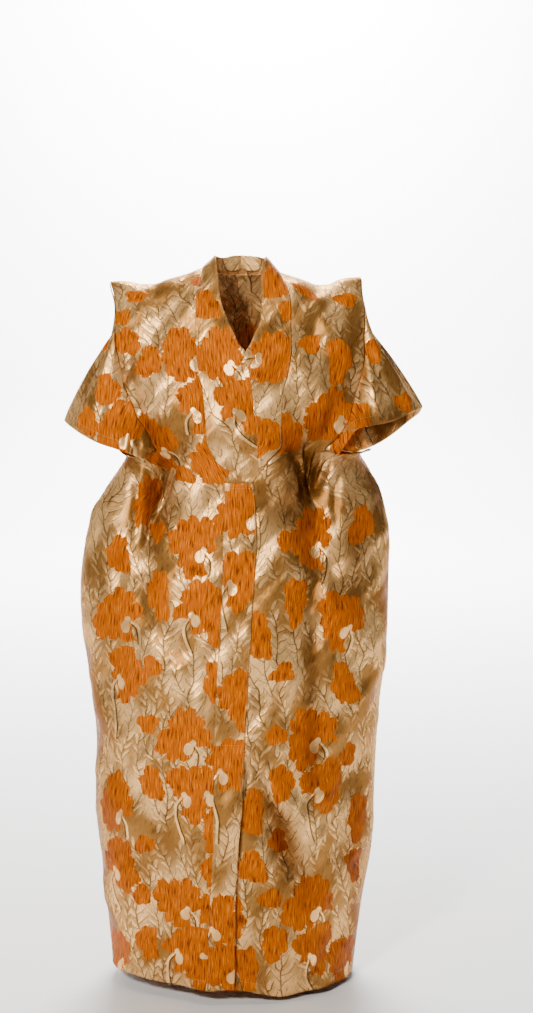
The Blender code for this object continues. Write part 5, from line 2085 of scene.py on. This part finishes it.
@dataclass
class Robe:
    """The whole robe: its cloth pieces, how each is held, and their stitching."""

    form: RobeForm = field(default_factory=RobeForm)
    finish: BrocadeFinish = field(default_factory=BrocadeFinish)
    thread: ThreadFinish = field(default_factory=ThreadFinish)
    grids: dict[str, ClothGrid] = field(default_factory=dict)
    sheets: tuple[SheetFacts, ...] = (
        SheetFacts("front_right", Held.GATHERED, ("back",)),
        SheetFacts("front_left", Held.GATHERED, ("back",)),
        SheetFacts("back", Held.GATHERED),
        SheetFacts("front_placket", Held.LAID, ("front_right", "front_left")),
        SheetFacts("neck_band_right", Held.LAID, ("front_right", "back")),
        SheetFacts("neck_band_left", Held.LAID, ("front_left", "back")),
        SheetFacts("sleeve_right", Held.DRAPED, ("front_right", "back")),
        SheetFacts("sleeve_left", Held.DRAPED, ("front_left", "back")),
    )

    def build(self) -> None:
        """Builds every piece, attaches it to the root, hides its solid and sews the topstitching."""
        brocade = self.finish.make("brocade")
        builder = ClothBuilder()
        fronts = FrontPieces(self.form, builder)
        self.grids["front_right"] = fronts.right(brocade)
        self.grids["front_left"] = fronts.left(brocade)
        self.grids["front_placket"] = fronts.placket(brocade)
        self.grids["back"] = BackPiece(self.form, builder).build(brocade)
        bands = NeckBands(self.form, builder)
        self.grids["neck_band_right"] = bands.build(Side.RIGHT, brocade)
        self.grids["neck_band_left"] = bands.build(Side.LEFT, brocade)
        sleeves = Sleeves(self.form, builder)
        self.grids["sleeve_right"] = sleeves.build(Side.RIGHT, brocade)
        self.grids["sleeve_left"] = sleeves.build(Side.LEFT, brocade)
        for facts in self.sheets:
            self.declare(builder.made[facts.node], facts)
        self.dress()

    def declare(self, thing: bpy.types.Object, facts: SheetFacts) -> None:
        """Attaches one piece to the root, hides its solid and measures its cut.

        Args:
            thing: the piece.
            facts: how it is held.
        """
        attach(thing, "root")
        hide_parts(facts.node)
        size, area = self.grids[facts.node].cut_size()
        area = min(area, size[0] * size[1])

    def dress(self) -> None:
        """Sews the topstitching."""
        stitching = Stitching()
        placket = self.grids["front_placket"]
        stitching.sew(*placket.edge_line(False, 0.003))
        stitching.sew(*placket.edge_line(True, 0.003))
        end = int(np.argmin(np.abs(ROWS[WAIST_ROW:] - 0.916)))
        for row in (3, end):
            stitching.sew(placket.points[row, 2:-2], placket.normals[row, 2:-2])
        for name in ("neck_band_right", "neck_band_left"):
            stitching.sew(*self.grids[name].edge_line(False, 0.003))
            stitching.sew(*self.grids[name].edge_line(True, 0.004))
        for name in ("front_right", "front_left", "back"):
            stitching.sew(*self.grids[name].hem_line(0.020))
        for name in ("sleeve_right", "sleeve_left"):
            stitching.sew(*self.grids[name].hem_line(0.018))
        thing = stitching.build("topstitching", self.thread.make("thread"))
        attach(thing, "root")


def main() -> None:
    """Builds the robe's look and its studio."""
    Robe().build()
    Studio().build()


if __name__ == "__main__":
    main()
